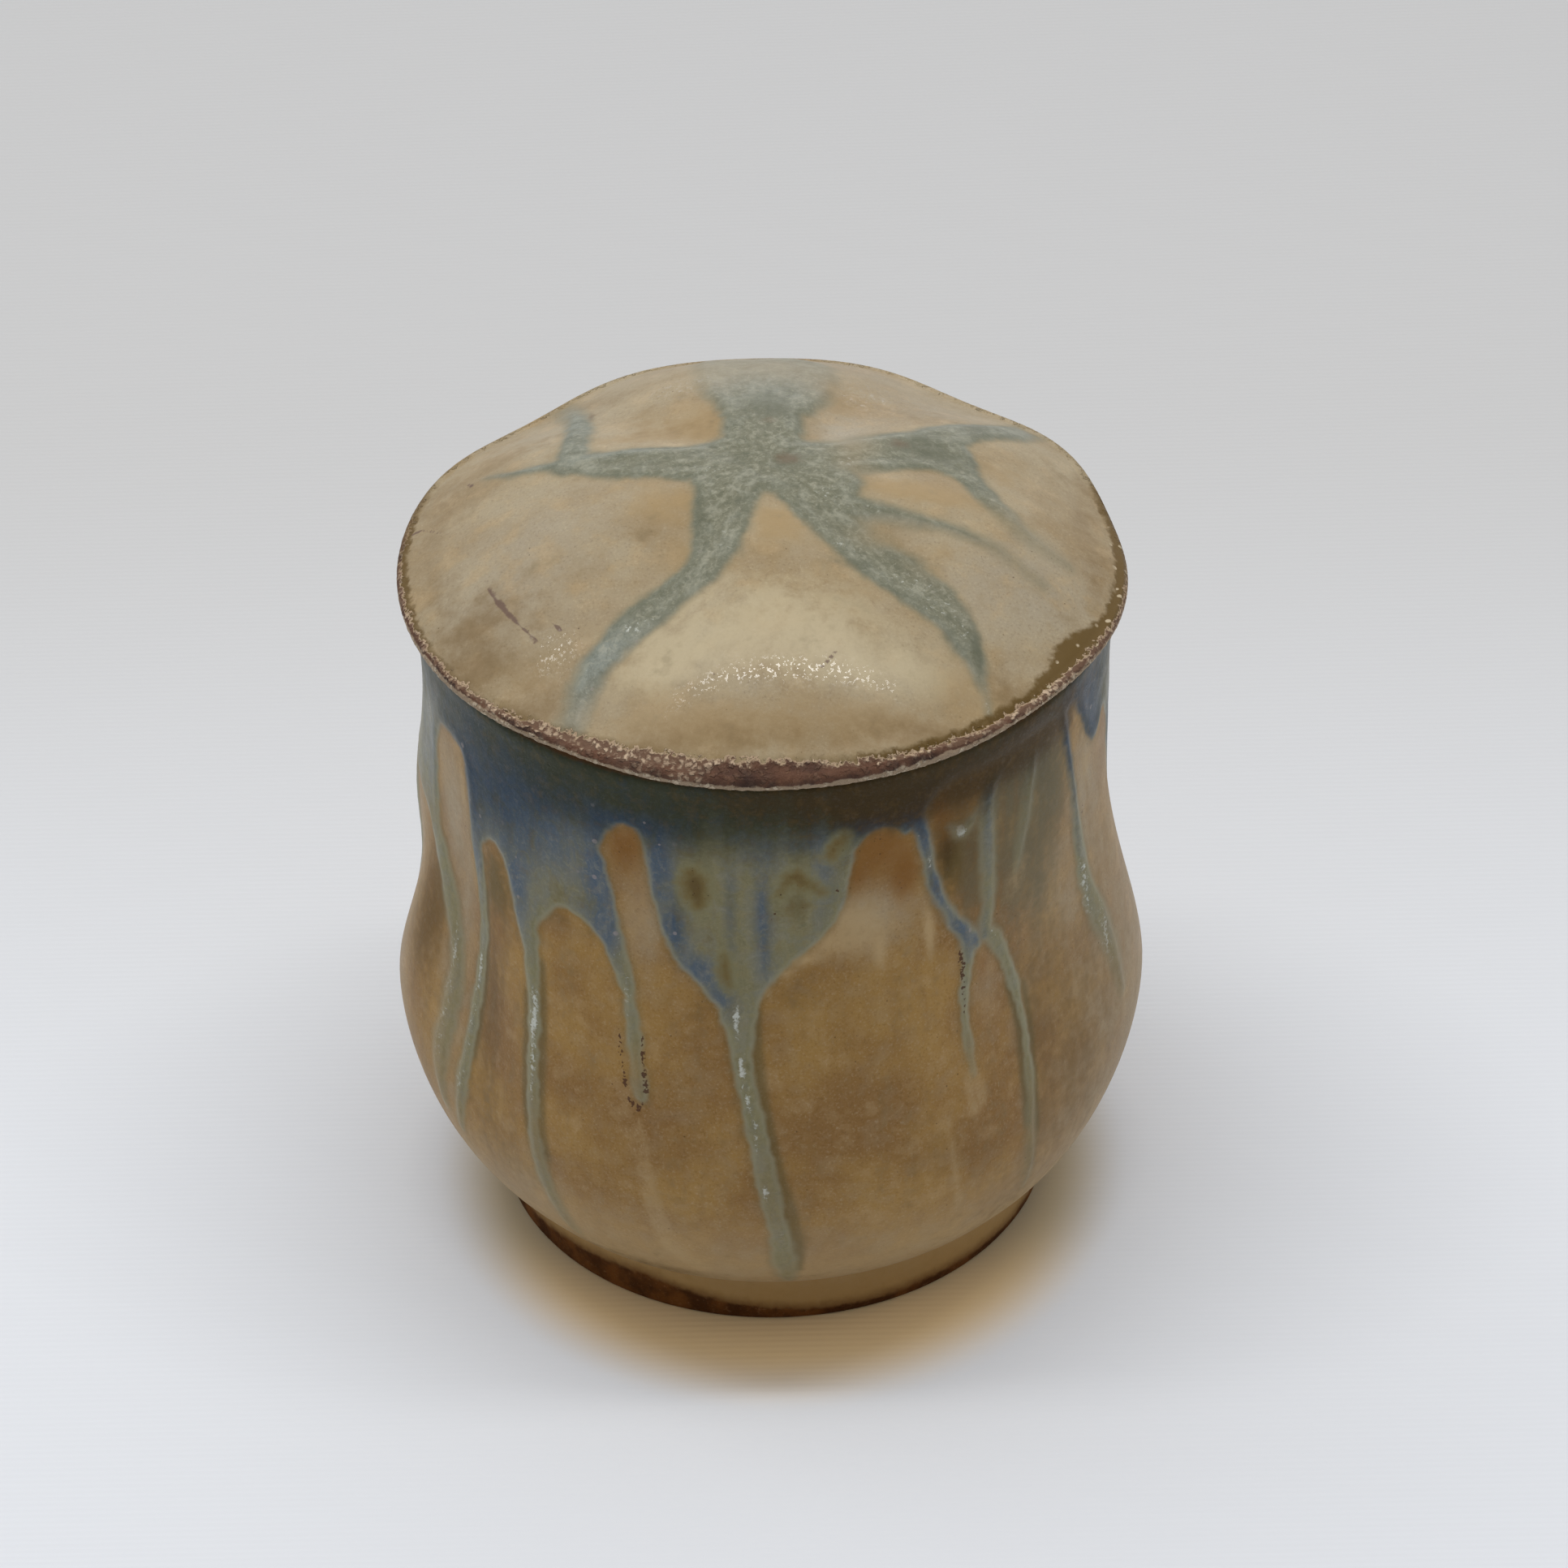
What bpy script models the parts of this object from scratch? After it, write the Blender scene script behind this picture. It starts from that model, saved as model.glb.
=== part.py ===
"""A lidded stoneware jar with pinched-in grooves.

Two thrown pieces: the pot, a bellied jar on a turned foot ring, and the lid, a low lobed dome
whose flange drops into the pot's mouth. Both are turned shapes that the potter has pressed in
by hand at a few places round the wall.

Metres, +Z up. The origin is the centre of the foot, on the table. The front is towards -Y, and an
azimuth is counted from the front, positive towards +X.
"""
import math
from collections import namedtuple

import bpy

# The pot, outside, from the foot up
FOOT_RADIUS = 0.0400
FOOT_HEIGHT = 0.0085
FOOT_FLARE = 0.0005
FOOT_RING_WIDTH = 0.0055
FOOT_RECESS = 0.0030
FOOT_EDGE = 0.0007
BELLY_RADIUS = 0.0544
BELLY_HEIGHT = 0.0380
NECK_RADIUS = 0.0483
NECK_HEIGHT = 0.0900
POT_HEIGHT = 0.1030
LIP_FLARE = 0.0005
LIP_EDGE = 0.0012

# How full the curve is under the belly, and how soon the shoulder falls away to the neck
UNDERSIDE_FULLNESS = 1.39
SHOULDER_FALL = 1.67

# The pot, inside
WALL = 0.0050
FLOOR_THICKNESS = 0.0068
INNER_CORNER = 0.0140

# The lid
LID_OVERHANG = 0.0022
DOME_RISE = 0.0155
DOME_POWER = 2.9
EDGE_THICKNESS = 0.0030
LID_WALL = 0.0048
FLANGE_DEPTH = 0.0070
FLANGE_WALL = 0.0032
FLANGE_EDGE = 0.0008

# Clearances: the lid's flange is loose in the mouth, and the lid rests on the lip
FLANGE_PLAY = 0.0010
SEAT_GAP = 0.0003

# Sides of the turned shapes
TURNED_SIDES = 72

# Grooves pressed into the pot's wall: azimuth at the middle, lean (degrees per metre of height),
# half width in degrees, depth, height of the deepest place, reach above it and below it
PotGroove = namedtuple("PotGroove", "azimuth lean half_width depth height up down")
POT_GROOVES = [
    PotGroove(-58.5, -270.0, 12.5, 0.0036, 0.056, 0.035, 0.0375),
    PotGroove(48.0, -130.0, 20.0, 0.0038, 0.053, 0.034, 0.041),
    PotGroove(94.5, -370.0, 10.5, 0.0035, 0.0565, 0.0325, 0.039),
    PotGroove(170.0, 0.0, 15.0, 0.0034, 0.052, 0.034, 0.038),
    PotGroove(-96.0, 700.0, 10.8, 0.0034, 0.048, 0.029, 0.032),
]

# Grooves pressed into the lid's dome: azimuth, depth on the dome, and how far they draw in the rim
LidGroove = namedtuple("LidGroove", "azimuth depth draw_in")
LID_GROOVES = [
    LidGroove(-34.0, 0.0020, 0.0011),
    LidGroove(48.0, 0.0020, 0.0009),
    LidGroove(102.0, 0.0010, 0.0015),
    LidGroove(142.0, 0.0020, 0.0023),
    LidGroove(180.0, 0.0, 0.0009),
    LidGroove(-137.0, 0.0020, 0.0023),
    LidGroove(-98.0, 0.0008, 0.0),
]
LID_GROOVE_HALF_WIDTH = 16.0
LID_GROOVE_SPREAD = 6.0
LID_GROOVE_START = 0.55
LID_GROOVE_END = 1.10
LID_GROOVE_FADE = 0.30

# Sizes that follow from those above
lip_radius = NECK_RADIUS + LIP_FLARE
mouth_radius = lip_radius - WALL
floor_height = FOOT_RECESS + FLOOR_THICKNESS
lid_radius = lip_radius + LID_OVERHANG
lid_seat = POT_HEIGHT + SEAT_GAP
flange_radius = mouth_radius - FLANGE_PLAY
flange_bore = flange_radius - FLANGE_WALL


def smooth_step(t):
    """0 below 0, 1 above 1, and an S-curve between."""
    t = min(max(t, 0.0), 1.0)
    return t * t * (3.0 - 2.0 * t)


def turn_apart(azimuth, other):
    """The angle from one azimuth to another, between -180 and 180 degrees."""
    return (azimuth - other + 180.0) % 360.0 - 180.0


def hollow(angle, half_width):
    """The cross-section of a pressed groove: 1 along its middle, fading to 0 at its sides."""
    return math.exp(-((angle / half_width) ** 2))


def spread(start, end, count):
    """Evenly spaced values from start to end, both included."""
    return [start + (end - start) * k / (count - 1) for k in range(count)]


def arc(centre_x, centre_z, radius, start, end, count):
    """Points of an arc in the profile plane. Degrees, 0 outwards and 90 up."""
    turns = [math.radians(a) for a in spread(start, end, count)]
    return [(centre_x + radius * math.cos(a), centre_z + radius * math.sin(a)) for a in turns]


def outer_radius(height):
    """The pot's outer wall above the foot, before the grooves are pressed in."""
    foot_top = FOOT_RADIUS + FOOT_FLARE
    if height <= BELLY_HEIGHT:
        t = (BELLY_HEIGHT - height) / (BELLY_HEIGHT - FOOT_HEIGHT)
        swell = (1.0 - min(t, 1.0) ** 2) ** (1.0 / UNDERSIDE_FULLNESS)
        return foot_top + (BELLY_RADIUS - foot_top) * swell
    if height <= NECK_HEIGHT:
        t = (height - BELLY_HEIGHT) / (NECK_HEIGHT - BELLY_HEIGHT)
        return NECK_RADIUS + (BELLY_RADIUS - NECK_RADIUS) * (1.0 - t**SHOULDER_FALL) ** 2
    t = (height - NECK_HEIGHT) / (POT_HEIGHT - NECK_HEIGHT)
    return NECK_RADIUS + LIP_FLARE * smooth_step(t)


def pot_outline():
    """From the middle of the floor, up the inner wall, over the lip and down to the foot."""
    corner_top = floor_height + INNER_CORNER
    corner_radius = outer_radius(corner_top) - WALL
    corner = arc(corner_radius - INNER_CORNER, corner_top, INNER_CORNER, -90.0, 0.0, 7)
    inner_wall = [
        (outer_radius(z) - WALL, z) for z in spread(corner_top, POT_HEIGHT - LIP_EDGE, 12)[1:-1]
    ]
    lip_inside = arc(mouth_radius + LIP_EDGE, POT_HEIGHT - LIP_EDGE, LIP_EDGE, 180.0, 90.0, 4)
    lip_outside = arc(lip_radius - LIP_EDGE, POT_HEIGHT - LIP_EDGE, LIP_EDGE, 90.0, 0.0, 4)
    shoulder = [
        (outer_radius(z), z) for z in spread(POT_HEIGHT - LIP_EDGE, BELLY_HEIGHT, 16)[1:]
    ]
    # Under the belly the wall turns in faster and faster, so the points close up towards the foot
    drop = BELLY_HEIGHT - FOOT_HEIGHT
    underside = [
        (outer_radius(z), z)
        for z in (BELLY_HEIGHT - drop * math.sin(a) for a in spread(0.0, math.pi / 2.0, 12)[1:])
    ]
    foot = [
        (FOOT_RADIUS, FOOT_EDGE),
        (FOOT_RADIUS - FOOT_EDGE, 0.0),
        (FOOT_RADIUS - FOOT_RING_WIDTH, 0.0),
        (FOOT_RADIUS - FOOT_RING_WIDTH - FOOT_RECESS, FOOT_RECESS),
        (0.0, FOOT_RECESS),
    ]
    inside = [(0.0, floor_height)] + corner + inner_wall + lip_inside
    return inside + lip_outside + shoulder + underside + foot


def dome_height(fraction):
    """The lid's top surface over its seat, at a fraction of the way out to the rim."""
    rim_top = EDGE_THICKNESS * 0.5
    return rim_top + DOME_RISE * (1.0 - fraction**DOME_POWER)


def lid_outline():
    """From the top of the dome out to the rim, under it, round the flange and back inside."""
    half_edge = EDGE_THICKNESS * 0.5
    rim_centre = lid_radius - half_edge
    dome = [
        (rim_centre * s, lid_seat + dome_height(rim_centre * s / lid_radius))
        for s in (math.sin(a) for a in spread(0.0, math.pi / 2.0, 16))
    ]
    rim = arc(rim_centre, lid_seat + half_edge, half_edge, 30.0, -90.0, 6)
    flange_foot = lid_seat - FLANGE_DEPTH
    flange = [
        (flange_radius, lid_seat),
        (flange_radius, flange_foot + FLANGE_EDGE),
        (flange_radius - FLANGE_EDGE, flange_foot),
        (flange_bore + FLANGE_EDGE, flange_foot),
        (flange_bore, flange_foot + FLANGE_EDGE),
    ]
    ceiling = [
        (flange_bore * s, lid_seat + dome_height(flange_bore * s / lid_radius) - LID_WALL)
        for s in spread(1.0, 0.0, 10)
    ]
    return dome + rim + flange + ceiling


def turn(name, outline, colour, roughness, parts):
    """Turn an outline about Z, as a potter turns a pot, and return the finished object."""
    profile = bpy.data.meshes.new(name + "_profile")
    profile.from_pydata(
        [(x, 0.0, z) for x, z in outline], [(k, k + 1) for k in range(len(outline) - 1)], []
    )
    blank = bpy.data.objects.new(name + "_blank", profile)
    parts.objects.link(blank)
    screw = blank.modifiers.new("Turn", "SCREW")
    screw.axis = "Z"
    screw.angle = math.tau
    screw.steps = screw.render_steps = TURNED_SIDES
    screw.use_merge_vertices = True
    screw.merge_threshold = 0.00002
    screw.use_smooth_shade = True

    depsgraph = bpy.context.evaluated_depsgraph_get()
    mesh = bpy.data.meshes.new_from_object(blank.evaluated_get(depsgraph))
    mesh.name = name
    bpy.data.objects.remove(blank)
    bpy.data.meshes.remove(profile)

    piece = bpy.data.objects.new(name, mesh)
    parts.objects.link(piece)
    material = bpy.data.materials.new(name + "_glaze")
    material.use_nodes = True
    shader = material.node_tree.nodes["Principled BSDF"]
    shader.inputs["Base Color"].default_value = (*colour, 1.0)
    shader.inputs["Roughness"].default_value = roughness
    shader.inputs["Metallic"].default_value = 0.0
    mesh.materials.append(material)
    return piece


def azimuth_of(point):
    return math.degrees(math.atan2(point.x, -point.y))


def press_pot(mesh):
    """Press each groove into the wall from outside, so that the inner face moves in with it."""
    for vertex in mesh.vertices:
        point = vertex.co
        radius = math.hypot(point.x, point.y)
        if radius < FOOT_RADIUS - FOOT_RING_WIDTH or point.z <= FOOT_HEIGHT:
            continue
        azimuth = azimuth_of(point)
        pressed = 0.0
        for groove in POT_GROOVES:
            rise = point.z - groove.height
            reach = groove.up if rise > 0.0 else groove.down
            centre = groove.azimuth + groove.lean * (point.z - groove.height)
            section = hollow(turn_apart(azimuth, centre), groove.half_width)
            pressed += groove.depth * smooth_step(1.0 - abs(rise) / reach) * section
        point.x *= (radius - pressed) / radius
        point.y *= (radius - pressed) / radius


def press_lid(mesh):
    """Press the grooves down into the dome, and draw the rim in where they run out over it."""
    for vertex in mesh.vertices:
        point = vertex.co
        radius = math.hypot(point.x, point.y)
        fraction = radius / lid_radius
        on_dome = point.z > lid_seat + dome_height(min(fraction, 1.0)) - LID_WALL * 0.5
        if radius <= flange_radius and not on_dome:
            continue
        azimuth = azimuth_of(point)
        fade = smooth_step(fraction / LID_GROOVE_START)
        fade *= smooth_step((LID_GROOVE_END - fraction) / LID_GROOVE_FADE)
        half_width = LID_GROOVE_HALF_WIDTH + LID_GROOVE_SPREAD * (1.0 - min(fraction, 1.0))
        drop = 0.0
        draw_in = 0.0
        for groove in LID_GROOVES:
            apart = turn_apart(azimuth, groove.azimuth)
            drop += groove.depth * fade * hollow(apart, half_width)
            draw_in += groove.draw_in * hollow(apart, LID_GROOVE_HALF_WIDTH)
        if point.z > lid_seat + EDGE_THICKNESS * 0.5:
            point.z -= drop
        # The seat and the flange stay round, and the draw-in grows from there out to the rim
        outward = fraction if on_dome else (radius - flange_radius) / (lid_radius - flange_radius)
        if radius > 0.0:
            shrink = 1.0 - draw_in * outward / radius
            point.x *= shrink
            point.y *= shrink


def finish(piece):
    """Smooth shading, with the turned edges of the foot, the seat and the flange kept crisp."""
    piece.data.shade_smooth()
    piece.data.set_sharp_from_angle(angle=math.radians(40.0))


for old in list(bpy.data.objects):
    bpy.data.objects.remove(old)

jar = bpy.data.collections.new("lidded_jar")
bpy.context.scene.collection.children.link(jar)

pot = turn("pot", pot_outline(), (0.37, 0.25, 0.13), 0.42, jar)
press_pot(pot.data)
finish(pot)

lid = turn("lid", lid_outline(), (0.45, 0.35, 0.22), 0.38, jar)
press_lid(lid.data)
finish(lid)
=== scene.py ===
"""How the lidded jar looks: a blue-grey glaze that has run over a sand-coloured satin glaze.

The jar is two thrown pieces, the pot and its lid. Each gets one fine skin, made from the same
outline and the same pressed grooves as its solid. The runs of glaze stand up from that skin, and
the same fields that lift them also colour them.

Metres, +Z up. The front is towards -Y, and an azimuth is counted from the front, positive towards
+X. Glaze is drawn in millimetres: on the pot as (azimuth in degrees, height, half width), on the
lid as (x, y, half width) seen from above.
"""
import math
from collections import namedtuple

import bpy
import numpy as np
from mathutils import Matrix, Vector, noise


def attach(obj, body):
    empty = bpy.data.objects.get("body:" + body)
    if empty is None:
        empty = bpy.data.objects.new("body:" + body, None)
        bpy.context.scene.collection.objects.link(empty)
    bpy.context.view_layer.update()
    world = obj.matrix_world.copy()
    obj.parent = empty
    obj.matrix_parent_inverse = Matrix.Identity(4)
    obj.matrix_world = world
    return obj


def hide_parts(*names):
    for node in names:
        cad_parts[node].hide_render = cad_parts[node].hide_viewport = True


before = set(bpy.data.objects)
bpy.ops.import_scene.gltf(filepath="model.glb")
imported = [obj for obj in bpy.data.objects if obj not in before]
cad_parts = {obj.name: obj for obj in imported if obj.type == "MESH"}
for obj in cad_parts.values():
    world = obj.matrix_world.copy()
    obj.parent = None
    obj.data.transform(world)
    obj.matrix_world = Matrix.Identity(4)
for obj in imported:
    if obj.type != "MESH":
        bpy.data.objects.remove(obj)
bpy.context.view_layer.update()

# The pot. Stoneware thrown on the wheel, turned on its foot and pressed in by hand at five places.
# A sand-coloured satin glaze covers it inside and out. A second glaze, poured round the neck, ran
# down the wall in the kiln. The lip and the foot were wiped bare.
FOOT_RADIUS = 0.0400
FOOT_HEIGHT = 0.0085
FOOT_FLARE = 0.0005
FOOT_RING_WIDTH = 0.0055
FOOT_RECESS = 0.0030
FOOT_EDGE = 0.0007
BELLY_RADIUS = 0.0544
BELLY_HEIGHT = 0.0380
NECK_RADIUS = 0.0483
NECK_HEIGHT = 0.0900
POT_HEIGHT = 0.1030
LIP_FLARE = 0.0005
LIP_EDGE = 0.0012
UNDERSIDE_FULLNESS = 1.39
SHOULDER_FALL = 1.67
WALL = 0.0050
FLOOR_THICKNESS = 0.0068
INNER_CORNER = 0.0140

# Grooves: azimuth, lean (degrees per metre), half width in degrees, depth, height, reach up, down
PotGroove = namedtuple("PotGroove", "azimuth lean half_width depth height up down")
POT_GROOVES = [
    PotGroove(-58.5, -270.0, 12.5, 0.0036, 0.056, 0.035, 0.0375),
    PotGroove(48.0, -130.0, 20.0, 0.0038, 0.053, 0.034, 0.041),
    PotGroove(94.5, -370.0, 10.5, 0.0035, 0.0565, 0.0325, 0.039),
    PotGroove(170.0, 0.0, 15.0, 0.0034, 0.052, 0.034, 0.038),
    PotGroove(-96.0, 700.0, 10.8, 0.0034, 0.048, 0.029, 0.032),
]

# How many points the skin's outline has along each stretch
FLAT_POINTS = 6
EDGE_POINTS = 6
CORNER_POINTS = 8
INSIDE_POINTS = 14
WALL_POINTS = 67
UNDERSIDE_POINTS = 29
FOOT_POINTS = 8
POT_SIDES = 660
POT_CROWDING = 0.25  # the sides stand this share closer at the front than on average
GLAZE_THICKNESS = 0.00028  # of the run glaze, over the satin glaze
SKIN_DEPTH = 0.00006  # of the skin below the solid's surface, whose faces are wider
RIDGE_DEPTH = 0.00018  # of the throwing ridges inside
RIDGE_SPACING = 0.0052
SHARP_CORNER = math.radians(50.0)  # where two faces meet at more, the edge shows
MM = 0.001

floor_height = FOOT_RECESS + FLOOR_THICKNESS
lip_radius = NECK_RADIUS + LIP_FLARE
mouth_radius = lip_radius - WALL
lip_start = POT_HEIGHT - LIP_EDGE


def smooth_step(t):
    t = np.clip(t, 0.0, 1.0)
    return t * t * (3.0 - 2.0 * t)


def fade(value, start, end):
    """0 up to start, 1 from end on, and an S-curve between. End may lie below start."""
    return smooth_step((value - start) / (end - start))


def short_way(distance, round_trip=360.0):
    """A distance or angle on something round, counted the short way round."""
    return (distance + round_trip / 2) % round_trip - round_trip / 2


def hollow(angle, half_width):
    """The cross-section of a pressed groove: 1 along its middle, fading to 0 at its sides."""
    return np.exp(-((angle / half_width) ** 2))


def arc(centre_r, centre_z, radius, start, end, count):
    """Outline points along an arc. Degrees, 0 outwards and 90 up."""
    turns = np.radians(np.linspace(start, end, count))
    return [(centre_r + radius * math.cos(a), centre_z + radius * math.sin(a)) for a in turns]


def outer_radius(height):
    """The pot's outer wall above the foot, before the grooves are pressed in."""
    foot_top = FOOT_RADIUS + FOOT_FLARE
    below = np.clip((BELLY_HEIGHT - height) / (BELLY_HEIGHT - FOOT_HEIGHT), 0.0, 1.0)
    swell = (1.0 - below**2) ** (1.0 / UNDERSIDE_FULLNESS)
    above = np.clip((height - BELLY_HEIGHT) / (NECK_HEIGHT - BELLY_HEIGHT), 0.0, 1.0)
    fall = (1.0 - above**SHOULDER_FALL) ** 2
    lip = fade(height, NECK_HEIGHT, POT_HEIGHT)
    underside = foot_top + (BELLY_RADIUS - foot_top) * swell
    shoulder = NECK_RADIUS + (BELLY_RADIUS - NECK_RADIUS) * fall + LIP_FLARE * lip
    return np.where(height <= BELLY_HEIGHT, underside, shoulder)


def pot_outline():
    """Rows of (radius, height) from the middle of the floor, over the lip and down to the foot,
    and the numbers of the first rows on the outer wall and under the foot."""
    corner_top = floor_height + INNER_CORNER
    corner_radius = float(outer_radius(corner_top)) - WALL
    flat = corner_radius - INNER_CORNER
    rows = [(r, floor_height) for r in np.linspace(0.0, flat, FLAT_POINTS)[:-1]]
    rows += arc(flat, corner_top, INNER_CORNER, -90.0, 0.0, CORNER_POINTS)
    heights = np.linspace(corner_top, lip_start, INSIDE_POINTS)[1:-1]
    rows += [(outer_radius(z) - WALL, z) for z in heights]
    rows += arc(mouth_radius + LIP_EDGE, lip_start, LIP_EDGE, 180.0, 90.0, EDGE_POINTS)
    outside = len(rows)
    rows += arc(lip_radius - LIP_EDGE, lip_start, LIP_EDGE, 90.0, 0.0, EDGE_POINTS)
    heights = np.linspace(lip_start, BELLY_HEIGHT, WALL_POINTS)[1:]
    rows += [(outer_radius(z), z) for z in heights]
    turns = np.linspace(0.0, math.pi / 2.0, UNDERSIDE_POINTS)[1:]
    heights = BELLY_HEIGHT - (BELLY_HEIGHT - FOOT_HEIGHT) * np.sin(turns)
    rows += [(outer_radius(z), z) for z in heights]
    for share in np.linspace(0.0, 1.0, FOOT_POINTS)[1:]:
        height = FOOT_HEIGHT + (FOOT_EDGE - FOOT_HEIGHT) * share
        rows.append((FOOT_RADIUS + FOOT_FLARE * (1.0 - share), height))
    under = len(rows)
    ring_inside = FOOT_RADIUS - FOOT_RING_WIDTH
    rows += [(FOOT_RADIUS - FOOT_EDGE * 0.4, FOOT_EDGE * 0.3), (FOOT_RADIUS - FOOT_EDGE, 0.0)]
    rows += [(r, 0.0) for r in np.linspace(FOOT_RADIUS - FOOT_EDGE, ring_inside, 4)[1:]]
    rows += [(ring_inside - FOOT_RECESS * s, FOOT_RECESS * s) for s in (0.35, 0.7, 1.0)]
    radii = np.linspace(ring_inside - FOOT_RECESS, 0.0, FLAT_POINTS)[1:]
    rows += [(r, FOOT_RECESS) for r in radii]
    return np.array(rows, float), outside, under


Skin = namedtuple("Skin", "sides ring azimuth radius height out_r out_z")


def turned_skin(rows, sides, crowding):
    """The points of a turned shape, ring by ring, with one point at each end on the axis.
    out_r and out_z say which way is out of the clay."""
    turn = np.linspace(-math.pi, math.pi, sides, endpoint=False)
    columns = np.degrees(turn - crowding * np.sin(turn))
    along = np.gradient(rows, axis=0)
    along /= np.maximum(np.linalg.norm(along, axis=1), 1e-9)[:, None]
    ring = np.repeat(np.arange(len(rows)), [1] + [sides] * (len(rows) - 2) + [1])
    azimuth = np.concatenate([[0.0], np.tile(columns, len(rows) - 2), [0.0]])
    return Skin(sides, ring, azimuth, rows[ring, 0], rows[ring, 1], -along[ring, 1], along[ring, 0])


def add_object(name, data):
    thing = bpy.data.objects.new(name, data)
    bpy.context.scene.collection.objects.link(thing)
    return thing


def close_skin(name, skin, radius, height):
    """The piece with this skin, from where the skin's points have got to."""
    turn = np.radians(skin.azimuth)
    points = np.column_stack([radius * np.sin(turn), -radius * np.cos(turn), height])
    first = 1 + np.arange(int(skin.ring[-1]) - 1)[:, None] * skin.sides
    here = first + np.arange(skin.sides)[None, :]
    beside = np.roll(here, -1, axis=1)
    quads = np.stack([here[:-1], here[1:], beside[1:], beside[:-1]], axis=-1).reshape(-1, 4)
    last = len(points) - 1
    start_fan = np.stack([np.zeros_like(here[0]), here[0], beside[0]], axis=-1)
    end_fan = np.stack([here[-1], np.full_like(here[0], last), beside[-1]], axis=-1)
    mesh = bpy.data.meshes.new(name)
    faces = start_fan.tolist() + quads.tolist() + end_fan.tolist()
    mesh.from_pydata(points.tolist(), [], faces)
    mesh.shade_smooth()
    mesh.set_sharp_from_angle(angle=SHARP_CORNER)
    return add_object(name, mesh)


def keep_field(piece, name, values):
    """Stores one number per point of the piece, for its material to read."""
    field = piece.data.attributes.new(name, "FLOAT", "POINT")
    field.data.foreach_set("value", np.asarray(values, np.float32))


# How glaze is drawn: rounded lines, strokes of changing width, closed or all-round edges, spots
def flowing(points, steps=4):
    """The same line with its corners rounded. Each point may carry a width."""
    p = np.array(points, float)
    p = np.vstack([2 * p[0] - p[1], p, 2 * p[-1] - p[-2]])
    line = []
    for a, b, c, d in zip(p, p[1:], p[2:], p[3:]):
        for t in np.arange(steps) / steps:
            bend = (2 * a - 5 * b + 4 * c - d) * t**2 + (3 * b - a - 3 * c + d) * t**3
            line.append(0.5 * (2 * b + (c - a) * t + bend))
    return np.array(line + [p[-2]])


def offsets(u, v, a, b, round_trip):
    """Each point's offset from a, and b's, where u starts again after round_trip."""
    du, lu = short_way(u - a[0], round_trip), short_way(b[0] - a[0], round_trip)
    return du, v - a[1], lu, b[1] - a[1]


def stroke_depth(u, v, line, round_trip=1e6):
    """How deep each point is inside a stroke, in mm, below 0 outside it."""
    depth = np.full(len(u), -1e3)
    for a, b in zip(line, line[1:]):
        du, dv, lu, lv = offsets(u, v, a, b, round_trip)
        t = np.clip((du * lu + dv * lv) / (lu * lu + lv * lv), 0.0, 1.0)
        away = np.hypot(du - t * lu, dv - t * lv)
        depth = np.maximum(depth, a[2] + (b[2] - a[2]) * t - away)
    return depth


def lines_depth(u, v, shown, lines, round_trip=1e6):
    """How deep each point is inside the nearest of some drawn lines, down to OFF_LINE, which is
    also the depth where none of them is shown."""
    depth = np.full(len(u), OFF_LINE)
    for line in lines:
        stroke = stroke_depth(u[shown], v[shown], line, round_trip)
        depth[shown] = np.maximum(depth[shown], stroke)
    return depth


def edge_depth(u, v, line, round_trip=1e6):
    """How deep each point is above an edge that goes all round, or inside a closed one, in mm."""
    nearest = np.full(len(u), 1e3)
    inside = np.zeros(len(u), bool)
    for a, b in zip(line, np.roll(line, -1, axis=0)):
        du, dv, lu, lv = offsets(u, v, a, b, round_trip)
        t = np.clip((du * lu + dv * lv) / max(lu * lu + lv * lv, 1e-9), 0.0, 1.0)
        nearest = np.minimum(nearest, np.hypot(du - t * lu, dv - t * lv))
        if lu != 0.0:
            over = (du >= min(lu, 0.0)) & (du < max(lu, 0.0))
            inside ^= over & (dv > du * lv / lu)
    return np.where(inside, nearest, -nearest)


def melted(one, other, softness):
    """Two glazes run together: the deeper of the two, with the corner between them filled."""
    return np.logaddexp(one / softness, other / softness) * softness


def spots(u, v, places, round_trip=1e6):
    """Soft spots of (u, v, reach in u, reach in v, strength), laid over each other."""
    clear = np.ones(len(u))
    for at_u, at_v, reach_u, reach_v, strength in places:
        du = short_way(u - at_u, round_trip)
        clear *= 1.0 - strength * np.exp(-((du / reach_u) ** 2) - ((v - at_v) / reach_v) ** 2)
    return 1.0 - clear


def raised(depth, start, full, bead, bead_width):
    """The share of the glaze's thickness at each depth: a body that rises from start to full, and
    the bead of glaze along its edge."""
    body = (1.0 - BEAD_SHARE) * fade(depth, start, full)
    return body + BEAD_SHARE * np.exp(-(((depth - bead) / bead_width) ** 2))


# All in mm, as the glaze is drawn
MM_PER_DEGREE = 0.87  # round the pot's wall
ROUND_THE_POT = 360.0 * MM_PER_DEGREE
MOST_DEPTH = 6.0  # deeper glaze, or a point further from it, is all the same
OFF_LINE = -3.0
POT_MELT = 0.22  # how softly the runs melt together
BEAD_SHARE = 0.35  # of the run glaze's thickness, in the bead along its edge
WIPED_LIP = 102.8  # the lip is bare above this height

# Heights on the wall between which something comes in
RUNS_THICKEN = (9.0, 13.0)
LIP_THICKENS = (101.5, 99.5)
RIDGES_START = (11.0, 17.0)
RIDGES_END = (99.0, 93.0)
# The poured glaze darkens towards the lip: deeper glaze, and painted shade below the lid
POOL_DARKENS = (84.0, 98.0)
# Paler towards the foot: painted light thrown up from the paper below
PAINTED_BOUNCE_HEIGHTS = (34.0, 12.0)
FOOT_PALES = (10.5, 6.5)


def unrolled(points):
    """(azimuth, height, ...) as (mm round the wall, height, ...)."""
    return [(azimuth * MM_PER_DEGREE, *rest) for azimuth, *rest in points]


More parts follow.
